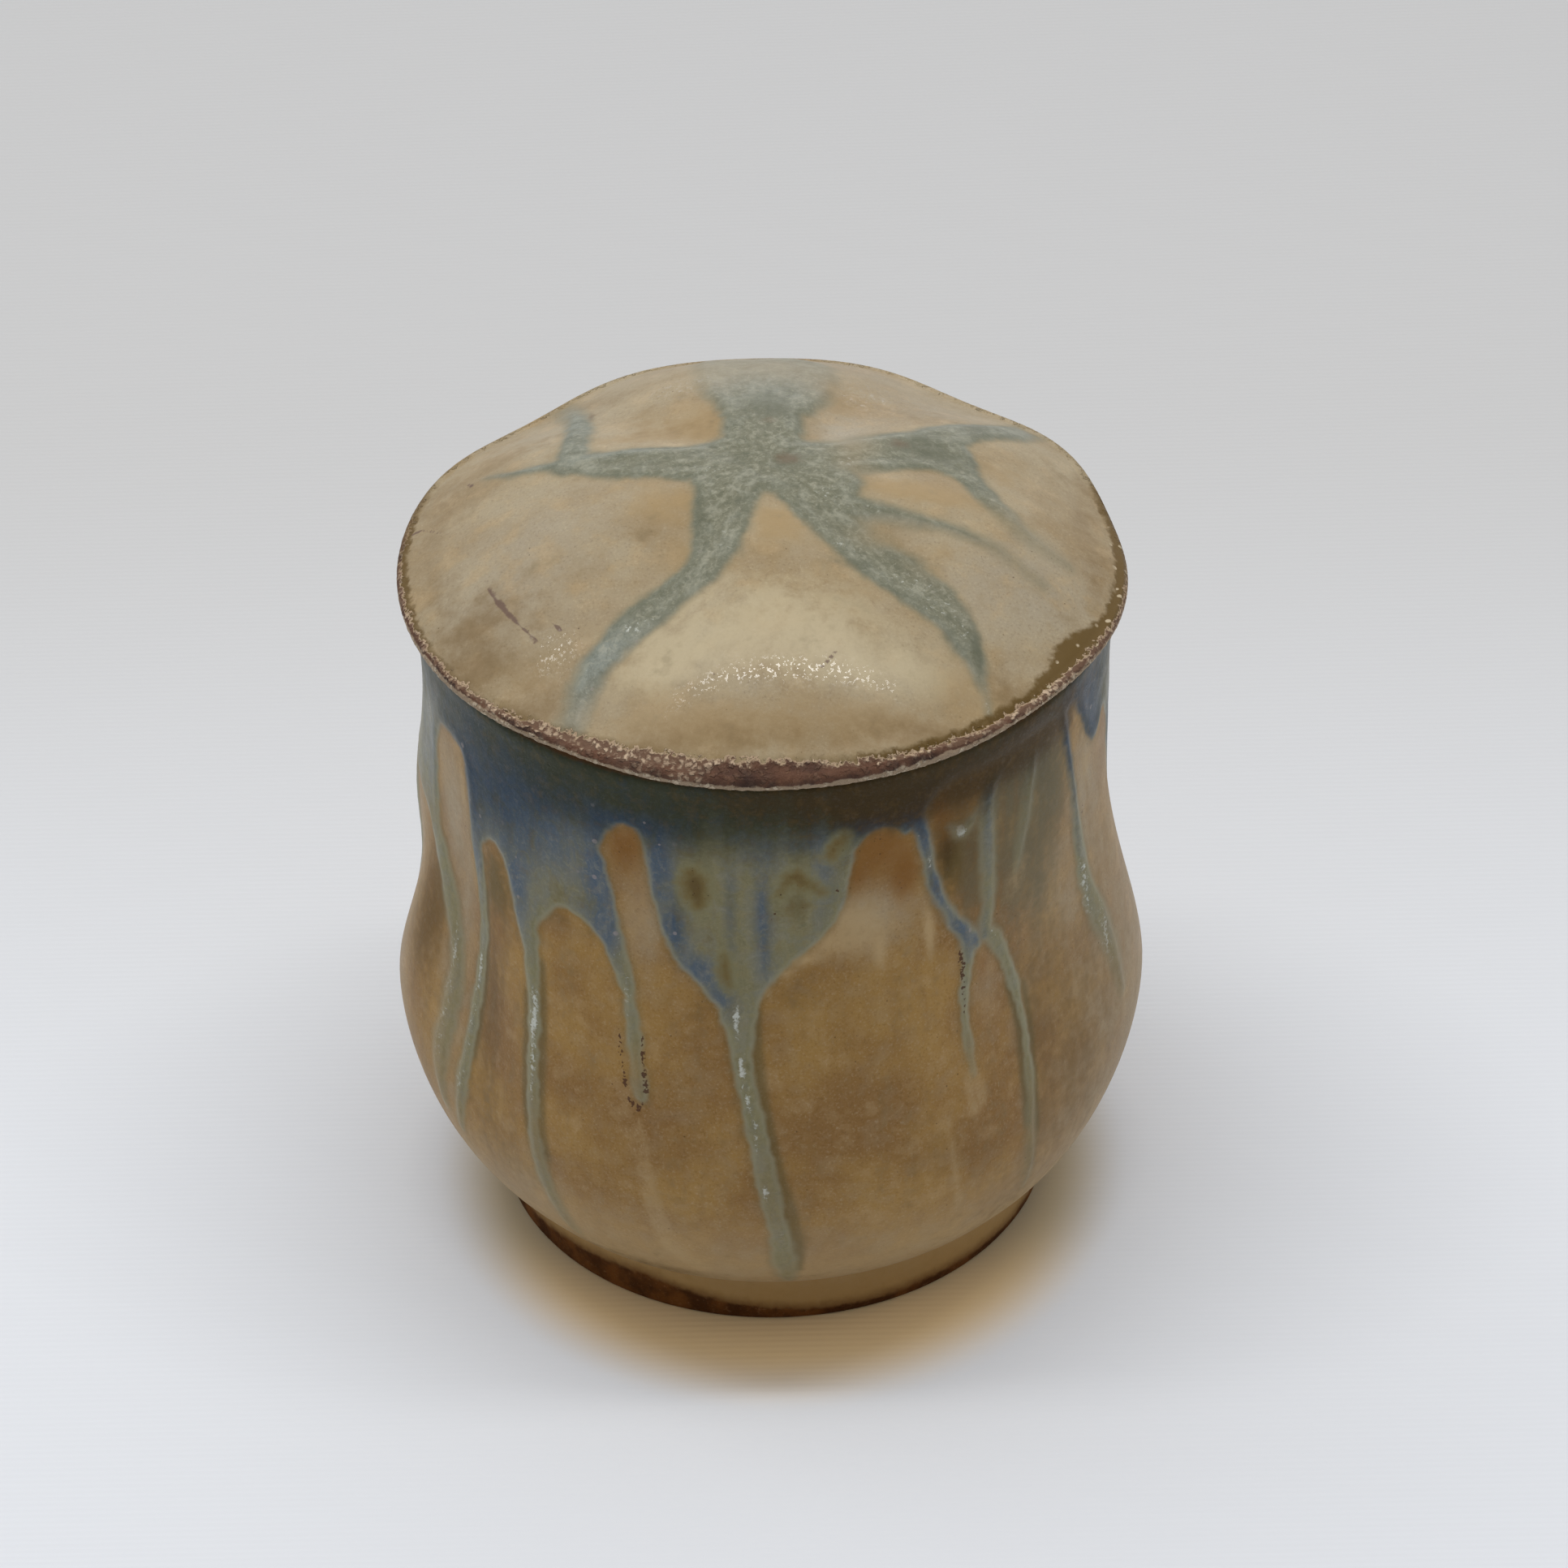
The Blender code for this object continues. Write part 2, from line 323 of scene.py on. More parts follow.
# The lower edge of the poured glaze, all round: over the arches and down to where each run starts
POOL_EDGE = [
    (-178, 71), (-172, 80), (-167, 84), (-162, 80), (-157, 70), (-151, 78), (-146, 82), (-141, 77),
    (-136, 69), (-131, 77), (-126, 88), (-121, 90), (-117, 85), (-113, 73), (-108, 77), (-103, 79),
    (-98, 75), (-92, 73), (-85, 72.5), (-80, 72), (-76.5, 71), (-74, 70), (-72.2, 73), (-72.9, 79),
    (-72.6, 85), (-70.8, 89.4), (-67.6, 91.4), (-64, 91.8), (-61, 91), (-59.8, 88), (-59.5, 82),
    (-59.2, 75), (-58, 71), (-56.2, 75), (-55.2, 78), (-53.4, 79.6), (-51.2, 80), (-49, 78.8),
    (-47, 75.5), (-45.2, 71), (-42.6, 66.5), (-40.8, 69.2), (-39.6, 72.2), (-37.4, 75.2),
    (-34.4, 76.4), (-31, 75.4), (-27.9, 73), (-25.6, 69.5), (-23.9, 67), (-23.5, 70), (-25.4, 75),
    (-27.5, 81), (-28.4, 87), (-27.2, 91), (-25.2, 93), (-23.4, 93.5), (-21.6, 92.8),
    (-20.2, 90.4), (-19.3, 86), (-18.2, 80.5), (-16.8, 75.6), (-14.6, 72.4), (-11.8, 70.6),
    (-9.2, 68.6), (-7.6, 65), (-5.6, 60), (-3.5, 62), (-1.9, 66.8), (0.2, 70.6), (2.6, 73.2),
    (5.4, 75), (8.4, 77.2), (10.9, 80), (12.4, 84), (13.3, 88), (14.6, 91.2), (16.4, 93),
    (18.4, 93.4), (20.6, 92.8), (22.4, 91.2), (24.2, 92.4), (26.6, 95), (29, 97.6), (33, 98.6),
    (40, 98.4), (47, 98.8), (53, 98.4), (57, 97.4), (59.6, 97.8), (62.2, 95), (64.6, 91),
    (67.2, 88), (70, 86), (73, 86.5), (76, 88), (80, 84), (84, 75), (88, 69), (92, 76), (98, 83),
    (103, 80), (108, 69), (114, 79), (120, 90), (126, 91), (131, 82), (136, 70), (143, 76),
    (149, 80), (154, 76), (160, 68), (166, 77), (171, 82), (176, 77),
]

# The runs, left to right from the front. Those seen in front are drawn one by one; the ones
# behind carry the same habit round: a wide start, a slight drift to the right, a thinning tail.
RUNS = [
    [(-76.8, 74, 2), (-73.2, 70, 2), (-69.8, 66, 1.8), (-66.8, 62, 1.8), (-64.2, 57, 1.6),
     (-62.6, 52, 1.45), (-62.4, 45, 1.75), (-63.2, 37, 1.82), (-62.6, 29, 0.98)],
    [(-57.3, 81, 1.7), (-56.7, 72, 1.63), (-55.8, 64, 1.49), (-56.3, 57, 1.19), (-56.5, 50, 1.16),
     (-56.5, 42, 1.11), (-57.3, 34, 1.2), (-58.3, 27, 0.8)],
    [(-45.4, 80, 2), (-43.4, 74, 1.9), (-41.4, 68, 1.57), (-40.3, 62, 1.22), (-39.5, 56, 1.15),
     (-39.4, 50, 1), (-39.2, 45, 1.14), (-39, 40, 1.1), (-38.2, 33, 1.32), (-37.1, 26, 1.21),
     (-36, 20, 1.11), (-35.6, 17, 0.52)],
    [(-29.1, 86, 1.6), (-27.4, 79, 1.58), (-25.4, 74, 1.36), (-23.6, 69.6, 1.14),
     (-22.4, 65, 0.95), (-21.7, 60, 1.02), (-20.9, 55, 1.1), (-20.1, 50.4, 0.98)],
    [(-19, 95, 1.8), (-18, 86, 1.7), (-16.5, 79, 1.6), (-14.5, 75, 1.6), (-11.8, 72, 1.6),
     (-8.8, 69.6, 1.7), (-6.6, 66.5, 1.7), (-5.4, 62, 1.5)],
    [(-4.9, 66, 2), (-4.7, 61, 1.51), (-4.3, 56, 1.38), (-3.4, 50.5, 1.29), (-2.3, 45, 1.36),
     (-1.4, 39, 1.4), (-0.6, 33, 1.32), (0.6, 28, 1.44), (1, 22, 1.62), (1.6, 16, 1.45),
     (2, 12, 0.9)],
    [(24.4, 94.4, 1.2), (25.7, 90, 1.15), (26.6, 85, 1.05), (27.9, 80.4, 1.1), (29.8, 76.4, 1.1),
     (32, 72.8, 1.25), (34, 70.2, 1.35), (35.6, 68.4, 1.2)],
    [(34, 68.4, 1.32), (33, 64, 0.96), (32, 58, 0.8), (32.5, 53, 0.78), (32.8, 48, 0.42)],
    [(37.8, 69.2, 1.3), (40, 67.2, 1.26), (41.9, 63, 1.17), (43.7, 58, 1.1), (44.9, 52, 0.76),
     (45, 47, 0.72), (44.6, 41, 0.81), (43.7, 34, 0.81), (44.2, 27, 0.85), (44.5, 21, 0.48)],
    [(55.8, 99, 0.9), (57.6, 95, 0.92), (59.4, 89, 0.85), (60.9, 82, 0.84), (61.6, 76, 1.12),
     (62.3, 70, 1.43), (63.5, 65, 1.53), (65.3, 59.6, 1.95), (67.7, 54, 1.69), (69.4, 48, 1.43),
     (70.7, 42, 0.78)],
    [(83, 80, 1.8), (87, 68, 1.5), (90, 56, 1.2), (92, 44, 1.2), (93, 33, 0.8)],
    [(107, 76, 1.8), (109, 64, 1.5), (111, 51, 1.3), (112, 40, 1.1), (114, 28, 0.7)],
    [(135, 78, 2), (137, 66, 1.6), (139, 53, 1.4), (141, 38, 1.4), (143, 24, 1.2), (144, 15, 0.6)],
    [(158, 76, 1.7), (161, 62, 1.2), (162, 52, 1), (163, 44, 0.5)],
    [(-180, 77, 2), (-177, 64, 1.6), (-175, 50, 1.3), (-173, 36, 1.4), (-172, 22, 1)],
    [(-158, 76, 1.8), (-155.5, 64, 1.3), (-154, 54, 1.1), (-153, 46, 0.5)],
    [(-137, 76, 1.9), (-134.5, 63, 1.5), (-133, 50, 1.3), (-131, 37, 1.3), (-129, 25, 0.9)],
    [(-114, 79, 1.9), (-111.5, 67, 1.5), (-109, 54, 1.2), (-107.5, 41, 1.3), (-107, 30, 0.7)],
    [(-91, 77, 1.4), (-88.5, 66, 1.1), (-87, 57, 0.9), (-86.5, 50, 0.4)],
]

# Broad pale streams between the arches at the right
STREAMS = [
    [(40.6, 95.4, 0.6), (38.8, 94, 1.1), (38, 88, 1.3), (38.2, 80, 1.3), (38.2, 73, 1.2),
     (37.4, 69, 1.2)],
    [(49, 95, 0.4), (48.2, 91, 0.8), (47, 86, 1), (45.8, 81.6, 0.8), (44.6, 77, 0.4)],
    [(30.4, 90.4, 0.3), (31.8, 88.8, 0.7), (33.2, 88.2, 0.7), (34.8, 89.4, 0.5), (36.2, 91, 0.3)],
]

# Where the poured glaze is blue rather than grey-green: azimuth, height, reach mm, reach mm, share
BLUE = [
    (-50, 89, 12, 8, 1), (-38, 88, 9, 7, 0.8), (-45.4, 77, 3.4, 9, 0.9), (-57.8, 82, 3, 13, 0.8),
    (-79, 84, 9, 9, 0.55), (-28.6, 84, 3, 9, 1), (-27, 76, 2.4, 6, 0.85), (-24, 94, 6, 1.5, 0.8),
    (-18.2, 88, 2.6, 8, 1), (-15.5, 77.5, 2.4, 4.5, 1), (-11.5, 71.8, 3, 2.6, 0.95),
    (-8, 68, 2, 3, 0.8), (-1.2, 80, 1.3, 9, 0.95), (-6.4, 82, 1, 8, 0.6),
    (-1.6, 91, 3.6, 3.6, 0.4), (8.6, 88, 1.8, 6, 0.6), (5, 92.6, 4, 1.4, 0.5),
    (12.4, 81.6, 0.8, 4, 0.5), (18, 94.6, 6, 1.6, 0.8), (25, 91, 3, 5, 1), (27.6, 80, 2.6, 6, 1),
    (32.4, 72.5, 3, 4, 1), (35.4, 69, 2, 2, 0.7), (38.4, 88, 1.8, 9, 0.35), (58.8, 92, 2, 10, 0.9),
    (65, 96, 5, 5, 1), (69.5, 90, 3, 4, 0.9), (60.2, 78, 1.6, 7, 0.5), (84, 82, 6, 8, 0.8),
    (108, 80, 8, 9, 0.9), (136, 82, 7, 10, 1), (160, 82, 8, 9, 0.8), (-178, 84, 9, 9, 0.9),
    (-157, 82, 6, 9, 0.9), (-136, 80, 7, 10, 1), (-112, 84, 8, 10, 0.9),
]

# Brown-green windows in the poured glaze, and the rust at the tops of the arches below it
OLIVE = [
    (-51, 73.5, 3.2, 5.5, 0.95), (-11.2, 77, 2.6, 3.6, 0.35), (4.4, 82.6, 3, 2.8, 0.55),
    (-35, 78.6, 6, 1.8, 0.5), (4.6, 94, 2.4, 1.3, 0.4), (31, 84, 2.2, 5, 0.8),
    (121, 80, 3.5, 4, 0.4), (-122, 80, 3.5, 4, 0.4),
]
# The windows with a clear edge: oval, or bent like a rafter
WINDOWS = [
    [(-12.2, 86.6, 1.6), (-12, 84.8, 1.9), (-11.6, 82.4, 1)],
    [(1.6, 84.4, 0.3), (2.6, 86.2, 0.8), (3.9, 87.2, 1.1), (5.9, 86, 0.9), (8.4, 84.2, 0.3)],
    [(9.6, 90.2, 0.5), (10.6, 91.6, 0.9), (12, 93.4, 0.6)],
    [(-7.5, 74.4, 0.4), (-7.2, 72, 0.7), (-6.8, 69.8, 0.3)],
    [(121, 90, 0.8), (121.4, 86.4, 1.7), (121, 83, 1)],
    [(-122, 90, 0.8), (-122.4, 87, 1.6), (-122, 84, 1.1)],
    [(148, 81, 0.5), (148.4, 78, 1.2), (148, 75, 0.7)],
]
# A thin veil of the poured glaze, and where it lies deepest and darkest: thick glaze there, and
# painted shade below the lid
VEIL = [
    (45, 80, 6, 7, 0.9), (50, 92, 6, 8, 0.95), (42, 90, 4, 7, 0.8), (46, 72, 5, 5, 0.5),
    (53, 86, 5, 8, 0.8), (34.6, 78, 2.4, 7, 0.6), (33.5, 86, 3, 4, 0.35), (51, 72, 5, 10, 0.5),
]
DEEP_AND_LID_SHADE = [
    (-59, 92, 5, 8, 0.9), (-52, 94, 8, 8, 0.9), (-50, 86, 9, 6, 0.5), (-57, 82, 3, 8, 0.5),
    (-38, 97, 12, 6, 0.8), (-15, 96, 8, 4, 0.35), (-15, 80, 2, 5, 0.3), (66, 93, 9, 9, 1),
    (20, 95.6, 9, 2.6, 0.8), (4, 99, 9, 4, 0.6), (30, 96, 8, 5, 0.8), (-24, 97, 8, 4, 0.35),
    (-50, 98, 22, 5, 1), (-10, 101, 22, 3.4, 0.6), (67, 94, 7, 9, 1),
]
RUST = [
    (-23.6, 89.8, 3.2, 4.6, 0.85), (-21.4, 82, 1.6, 4, 0.4), (17.6, 90, 4.4, 4.6, 1),
    (22.2, 85, 2.2, 5, 1), (13.6, 86.5, 1.6, 3.4, 0.8), (28.4, 95, 1.2, 3.6, 1),
    (30, 90, 1.2, 4, 0.6), (41.6, 88, 0.8, 7, 0.3), (44.6, 90, 0.7, 5, 0.3),
    (11.2, 92.6, 1.4, 2.2, 0.7), (4.2, 94.6, 1.4, 1.1, 0.5), (-55.6, 48, 3.6, 9, 0.2),
    (-50.6, 66.5, 2.6, 4, 0.4), (36.8, 64, 1.2, 3, 0.5), (122, 86, 4, 5, 0.7),
    (-121, 86, 4, 5, 0.7), (149, 76, 3, 4, 0.5), (-146, 78, 3, 4, 0.6), (-167, 80, 3, 4, 0.5),
    (98, 79, 3, 4, 0.5),
]
# Where iron darkens the satin glaze to brown: below the lip at the right, and at the arches' tops
BROWN = [
    (30.6, 85.6, 2.6, 6, 1), (29.5, 94, 3, 5, 0.7), (35, 84, 3.6, 8, 0.85),
    (37, 96, 16, 4.5, 0.95), (43.5, 91, 5, 8, 0.6), (52, 92, 5, 8, 0.6), (42, 78, 3, 7, 0.35),
    (-51, 72, 3.6, 6.5, 0.8), (-35, 74.4, 6, 1.6, 0.4), (-11, 66.5, 3, 2.5, 0.3),
    (3, 68.5, 4, 3.4, 0.3), (27, 38, 7, 9, 0.35), (52, 36, 10, 14, 0.35), (-50, 36, 8, 12, 0.3),
    (21, 64, 12, 8, 0.1), (48, 56, 6, 12, 0.4), (62, 42, 12, 18, 0.3), (-72, 56, 5, 14, 0.8),
    (-51, 56, 4.6, 15, 0.65), (-24, 12, 14, 3, 0.5), (42, 20, 8, 8, 0.3),
]
# The glaze is darkest and brownest just below the lip at the right: brown glaze, with painted shade
# from the lid over it
LIP_SHADE = [
    (16, 99.6, 11, 4.4, 1), (36, 99.2, 22, 5, 1), (24, 96, 9, 3, 0.8), (2, 101, 14, 3.4, 0.6),
    (38, 96.6, 12, 3.4, 0.7), (51, 98, 10, 5, 1), (30.2, 86, 1.8, 4.6, 0.75),
]

# Pinkish clouds in the satin glaze, which at the sides of the belly also stand for a painted sheen
# and low down for painted light from the paper, and cream froth where the two glazes boiled
# together
BLUSH_AND_SHEEN = [
    (-66, 78, 5, 13, 1), (-63, 60, 3, 12, 0.7), (-61, 45, 4, 20, 0.5), (-90, 50, 10, 30, 0.8),
    (65, 80, 6, 10, 1), (58, 68, 8, 10, 0.6), (72, 50, 12, 26, 0.6), (60, 30, 12, 12, 0.6),
    (-21, 79, 3.4, 8, 0.7), (17, 79, 6, 5, 0.9), (100, 45, 26, 30, 0.7), (150, 45, 34, 30, 0.6),
    (-150, 45, 34, 30, 0.6), (-115, 45, 24, 30, 0.7), (0, 11, 200, 6, 0.6), (-45, 22, 12, 9, 0.5),
    (40, 17, 26, 8, 0.4), (-5, 21, 22, 8, 0.35), (37.4, 61, 2.2, 6, 0.5), (46, 60, 5, 16, 0.15),
    (10, 12, 30, 4, 0.4),
]
FROTH = [
    (14.6, 77.6, 3.4, 4.6, 0.8), (17.6, 73.4, 1, 3.4, 0.75), (26.2, 74, 1, 4, 0.85),
    (9.4, 76, 3, 2, 0.85), (4.6, 73.9, 2.6, 1, 0.95), (1.4, 72, 1.6, 1, 0.9),
    (-1, 69.4, 0.9, 1.6, 0.7), (-21.5, 79, 2.6, 8, 0.45), (-67.4, 84, 2.8, 7, 0.15),
    (66, 84, 2.6, 4, 0.4), (11.6, 79.6, 1.6, 2.2, 0.6), (20.6, 79, 3.4, 4, 0.3),
    (38.4, 68, 1.6, 0.6, 0.5), (44.6, 76, 2.6, 4, 0.4), (-61.6, 84, 1.2, 6, 0.4),
]
PALE_TRAILS = [
    [(-20.6, 46, 0.8), (-19.5, 38, 0.9), (-18.5, 30, 1.1), (-16.5, 22, 1.5), (-13, 16, 1.6)],
    [(32.5, 47.6, 1.3), (32.8, 43.4, 1.7)],
    [(27, 43, 0.4), (28, 34, 0.5), (29.6, 26, 0.4)],
]

# Whitish crystals grown in the middle of the thicker runs
CRYSTALS = [
    (-39.6, 60, 0.6, 2.4, 0.5), (-39.4, 56, 0.7, 3.4, 0.5), (-39.2, 50.5, 0.6, 3.4, 0.45),
    (-39.2, 45, 0.4, 3, 0.35), (-5.6, 65.4, 0.5, 1.6, 0.7), (-5.4, 62.6, 0.3, 1.2, 0.5),
    (-4.8, 57, 0.4, 2.6, 0.6), (-3.9, 52, 0.4, 2.6, 0.55), (-2.8, 46, 0.3, 3, 0.4),
    (-1.6, 37, 0.4, 1.6, 0.6), (0.6, 27, 0.5, 8, 0.12), (-56.2, 56, 0.5, 3.4, 0.5),
    (-56.6, 46, 0.7, 8, 0.25), (-58, 36, 0.8, 6, 0.3), (-23, 66.5, 0.6, 3, 0.4),
    (-25, 73, 0.5, 1.6, 0.3), (62.6, 64, 1.2, 8, 0.4), (67, 52, 1.2, 8, 0.35),
    (-64, 48, 1.4, 14, 0.3), (39.4, 68.4, 1, 0.8, 0.4), (32.6, 88.6, 1, 1, 0.9),
    (26.6, 86, 0.5, 1.4, 0.5), (13, 76.6, 0.6, 1.2, 0.7), (137, 60, 1, 8, 0.3),
    (-176, 58, 1, 8, 0.25), (-134, 56, 1, 8, 0.3), (110, 56, 1, 7, 0.2), (-110.5, 62, 1, 7, 0.25),
]
# Green-brown shadows along the sides of some runs, where the two glazes melted together
SHADOWS = [
    [(-2.6, 66, 0.4), (-2.4, 60, 0.5), (-1.4, 50, 0.6), (0.3, 40, 0.7), (2, 32, 0.8),
     (3.2, 24, 0.7), (3.4, 17, 0.4)],
    [(-38.8, 66, 0.4), (-38, 60, 0.5), (-37.6, 52, 0.6), (-37.4, 42, 0.5), (-36.6, 34, 0.5)],
    [(-41.6, 60, 0.3), (-41, 52, 0.5), (-40.8, 44, 0.4), (-40, 37, 0.3)],
    [(-54.4, 70, 0.5), (-54.6, 60, 0.6), (-54.8, 50, 0.6), (-55, 42, 0.4)],
    [(42.4, 58, 0.3), (43.8, 51, 0.4), (43.4, 44, 0.5), (43, 35, 0.4)],
    [(46.4, 56, 0.3), (46.6, 49, 0.4), (45.8, 42, 0.4), (45.4, 32, 0.3)],
]

# Where a run thins out and lets the satin glaze through
THIN = [
    (-65, 30, 3, 14, 0.6), (-64, 46, 4, 16, 0.35), (-59, 28, 3, 8, 0.5), (-36, 18, 4, 10, 0.65),
    (-38, 38, 2, 10, 0.45), (2.2, 12, 4, 8, 0.4), (0, 36, 3, 12, 0.3), (32.6, 48, 2, 7, 0.6),
    (43.4, 24, 3, 10, 0.75), (43.6, 38, 2, 9, 0.4), (70, 44, 6, 14, 0.6), (47, 86, 3, 12, 0.45),
    (45, 72, 3, 5, 0.7), (-84, 72, 8, 2.4, 0.5), (93, 34, 4, 12, 0.7), (113, 30, 4, 12, 0.7),
    (143, 18, 4, 9, 0.7), (-172, 24, 4, 10, 0.7), (-130, 27, 4, 10, 0.7), (-107, 32, 4, 10, 0.7),
    (14, 74, 3, 2, 0.4), (32.6, 91, 3, 4, 0.3), (-21.2, 54, 1.6, 5, 0.6),
]

# Where the edge of the poured glaze is blurred
SOFT = [
    (44, 88, 9, 16, 1), (38, 80, 3, 12, 0.5), (-66, 44, 7, 20, 0.6), (-36, 20, 5, 10, 0.7),
    (2.4, 16, 5, 9, 0.6), (43.4, 28, 4, 12, 0.7), (70, 44, 8, 16, 1), (33, 88, 4, 6, 0.5),
    (-66, 88, 5, 8, 0.5), (60, 84, 3, 12, 0.3), (40, 98.6, 16, 4, 1),
]

# Lines where iron has come to the surface: beside the short run, and round its tip
IRON_LINES = [
    [(-24.2, 60.4, 0), (-23.6, 56, 0.1), (-22.7, 51.6, 0.12)],
    [(-20.4, 60.6, 0), (-20, 56, 0.1), (-19.4, 51.2, 0.12)],
    [(-22.1, 50, 0.2), (-20.8, 48.6, 0.3), (-19.5, 50, 0.2)],
    [(31.9, 69, 0.1), (32.2, 66.4, 0.35), (32.2, 63, 0.1), (32, 58, -0.05)],
    [(10.6, 84.6, 0.25), (10.9, 84.7, 0.25)],
    [(0.2, 80.8, 0.15), (0.7, 81.4, 0.15)],
]

# The height of the bare clay at the foot, all round
BARE_FOOT = [
    (-180, 3.2), (-120, 2.4), (-80, 2.6), (-58, 3.4), (-42, 4.6), (-28, 5.2), (-18, 4), (-8, 2.8),
    (5, 1.8), (20, 1.5), (40, 1.9), (60, 1.5), (100, 2.2), (140, 2.8), (180, 3.2),
]

pot_rows, outside_from, under_from = pot_outline()
skin = turned_skin(pot_rows, POT_SIDES, POT_CROWDING)
outer = (skin.ring >= outside_from) & (skin.ring < under_from)
u = skin.azimuth * MM_PER_DEGREE
v = skin.height / MM


def on_the_wall(lines):
    """Drawn lines with their corners rounded, unrolled like the wall."""
    return [unrolled(flowing(line)) for line in lines]


def on_the_pot(places):
    """How strongly some spots show at each point of the pot."""
    return spots(u, v, unrolled(places), ROUND_THE_POT)


# The run glaze is drawn only on the outer wall: everywhere else it is far from its edge
first_azimuth, first_height = POOL_EDGE[0]
edge = flowing(POOL_EDGE + [(first_azimuth + 360, first_height)])[:-1]
depth = edge_depth(u[outer], v[outer], np.array(unrolled(edge)), ROUND_THE_POT)
for line in on_the_wall(RUNS + STREAMS):
    depth = melted(depth, stroke_depth(u[outer], v[outer], line, ROUND_THE_POT), POT_MELT)
run = np.full(len(u), -MOST_DEPTH)
run[outer] = np.clip(depth, -MOST_DEPTH, MOST_DEPTH)
shadow, window, iron, trail = [
    lines_depth(u, v, outer, on_the_wall(lines), ROUND_THE_POT)
    for lines in (SHADOWS, WINDOWS, IRON_LINES, PALE_TRAILS)
]
froth = np.maximum(on_the_pot(FROTH), 0.4 * fade(trail, -1.2, 0.6))
# Darker towards the lip: deeper glaze, and painted shade below the lid's edge
lid_shade_by_height = 0.8 * fade(v, *POOL_DARKENS)

bare_height = np.interp(skin.azimuth, *zip(*BARE_FOOT))
clay = np.maximum(bare_height - v, (v - WIPED_LIP) * 4.0)
clay = np.where(skin.ring >= under_from, 3.0, clay)

# The grooves press the whole wall in. The satin skin lies a little below the solid's surface, and
# the runs rise from it to that surface, so that the glazed pot is no bigger than the solid.
pressed = np.zeros(len(u))
for groove in POT_GROOVES:
    rise = skin.height - groove.height
    reach = np.where(rise > 0.0, groove.up, groove.down)
    centre = groove.azimuth + groove.lean * rise
    section = hollow(short_way(skin.azimuth - centre), groove.half_width)
    pressed += groove.depth * smooth_step(1.0 - np.abs(rise) / reach) * section
walled = (skin.radius >= FOOT_RADIUS - FOOT_RING_WIDTH) & (skin.height > FOOT_HEIGHT)
pressed = np.where(walled, pressed, 0.0)
taper = fade(v, *RUNS_THICKEN) * fade(v, *LIP_THICKENS)
missing = 1.0 - raised(run, start=-0.3, full=1.2, bead=1.4, bead_width=1.0)
lift = np.where(outer, -(missing * GLAZE_THICKNESS + SKIN_DEPTH) * taper, 0.0)
ridge = 0.5 - 0.5 * np.cos(math.tau * (skin.height / RIDGE_SPACING + skin.azimuth / 360.0))
inner = (skin.ring < outside_from) & (skin.height > floor_height + 0.001)
ridge *= fade(v, *RIDGES_START) * fade(v, *RIDGES_END)
lift = np.where(inner, -RIDGE_DEPTH * ridge, lift)

wall = skin.radius - pressed
pot = close_skin("pot_body", skin, wall + lift * skin.out_r, skin.height + lift * skin.out_z)
everywhere = {
    "run_depth": run,
    "window": window,
    "iron_line": iron,
    "bare_clay": clay,
    "shadow_line": fade(shadow, -0.9, 0.3),
    # Deep glaze, and painted shade below the lid
    "deep": 1.0 - (1.0 - on_the_pot(DEEP_AND_LID_SHADE)) * (1.0 - lid_shade_by_height),
    # Painted light from the paper, strongest low on the belly
    "low": fade(v, *PAINTED_BOUNCE_HEIGHTS),
    # Pink clouds, with painted sheen at the sides of the belly and painted light low down
    "blush": on_the_pot(BLUSH_AND_SHEEN),
    "thin": on_the_pot(THIN),
    "soft": 0.45 + 1.1 * on_the_pot(SOFT),
}
only_outside = {
    "blue": on_the_pot(BLUE),
    "olive": on_the_pot(OLIVE),
    "rust": on_the_pot(RUST),
    "brown": on_the_pot(BROWN),
    "lip_shade": on_the_pot(LIP_SHADE),
    "veil": on_the_pot(VEIL),
    "froth": froth,
    "crystals": on_the_pot(CRYSTALS),
    "foot": fade(v, *FOOT_PALES),
}
for name, values in everywhere.items():
    keep_field(pot, name, values)
for name, values in only_outside.items():
    keep_field(pot, name, np.where(outer, values, 0.0))


# The glazes. Each effect that the pot and the lid share is a node group, built once here.
def tone(red, green, blue):
    """A colour as it is mixed on the glaze chart, 0 to 255."""
    levels = [x / 255.0 for x in (red, green, blue)]
    return [x / 12.92 if x <= 0.04045 else ((x + 0.055) / 1.055) ** 2.4 for x in levels] + [1.0]


def feed(tree, socket, value):
    """Gives a socket a plain value, or another node's output."""
    if isinstance(value, bpy.types.NodeSocket):
        tree.links.new(value, socket)
    else:
        socket.default_value = value


def place(tree, kind, sockets=None, **settings):
    """A node with its settings, its sockets fed by name or number."""
    node = tree.nodes.new(kind)
    for name, value in settings.items():
        setattr(node, name, value)
    for key, value in (sockets or {}).items():
        feed(tree, node.inputs[key], value)
    return node


def reckon(tree, operation, *values, clamp=False):
    sockets = dict(enumerate(values))
    return place(tree, "ShaderNodeMath", sockets, operation=operation, use_clamp=clamp).outputs[0]


def plus(tree, one, other, clamp=False):
    return reckon(tree, "ADD", one, other, clamp=clamp)


def minus(tree, one, other):
    return reckon(tree, "SUBTRACT", one, other)


def times(tree, one, other):
    return reckon(tree, "MULTIPLY", one, other)


def vector(tree, operation, *values, scale=None):
    """Reckoning with places and directions. LENGTH puts out a number."""
    sockets = dict(enumerate(values))
    if scale is not None:
        sockets["Scale"] = scale
    outputs = place(tree, "ShaderNodeVectorMath", sockets, operation=operation).outputs
    return outputs["Value" if operation == "LENGTH" else "Vector"]


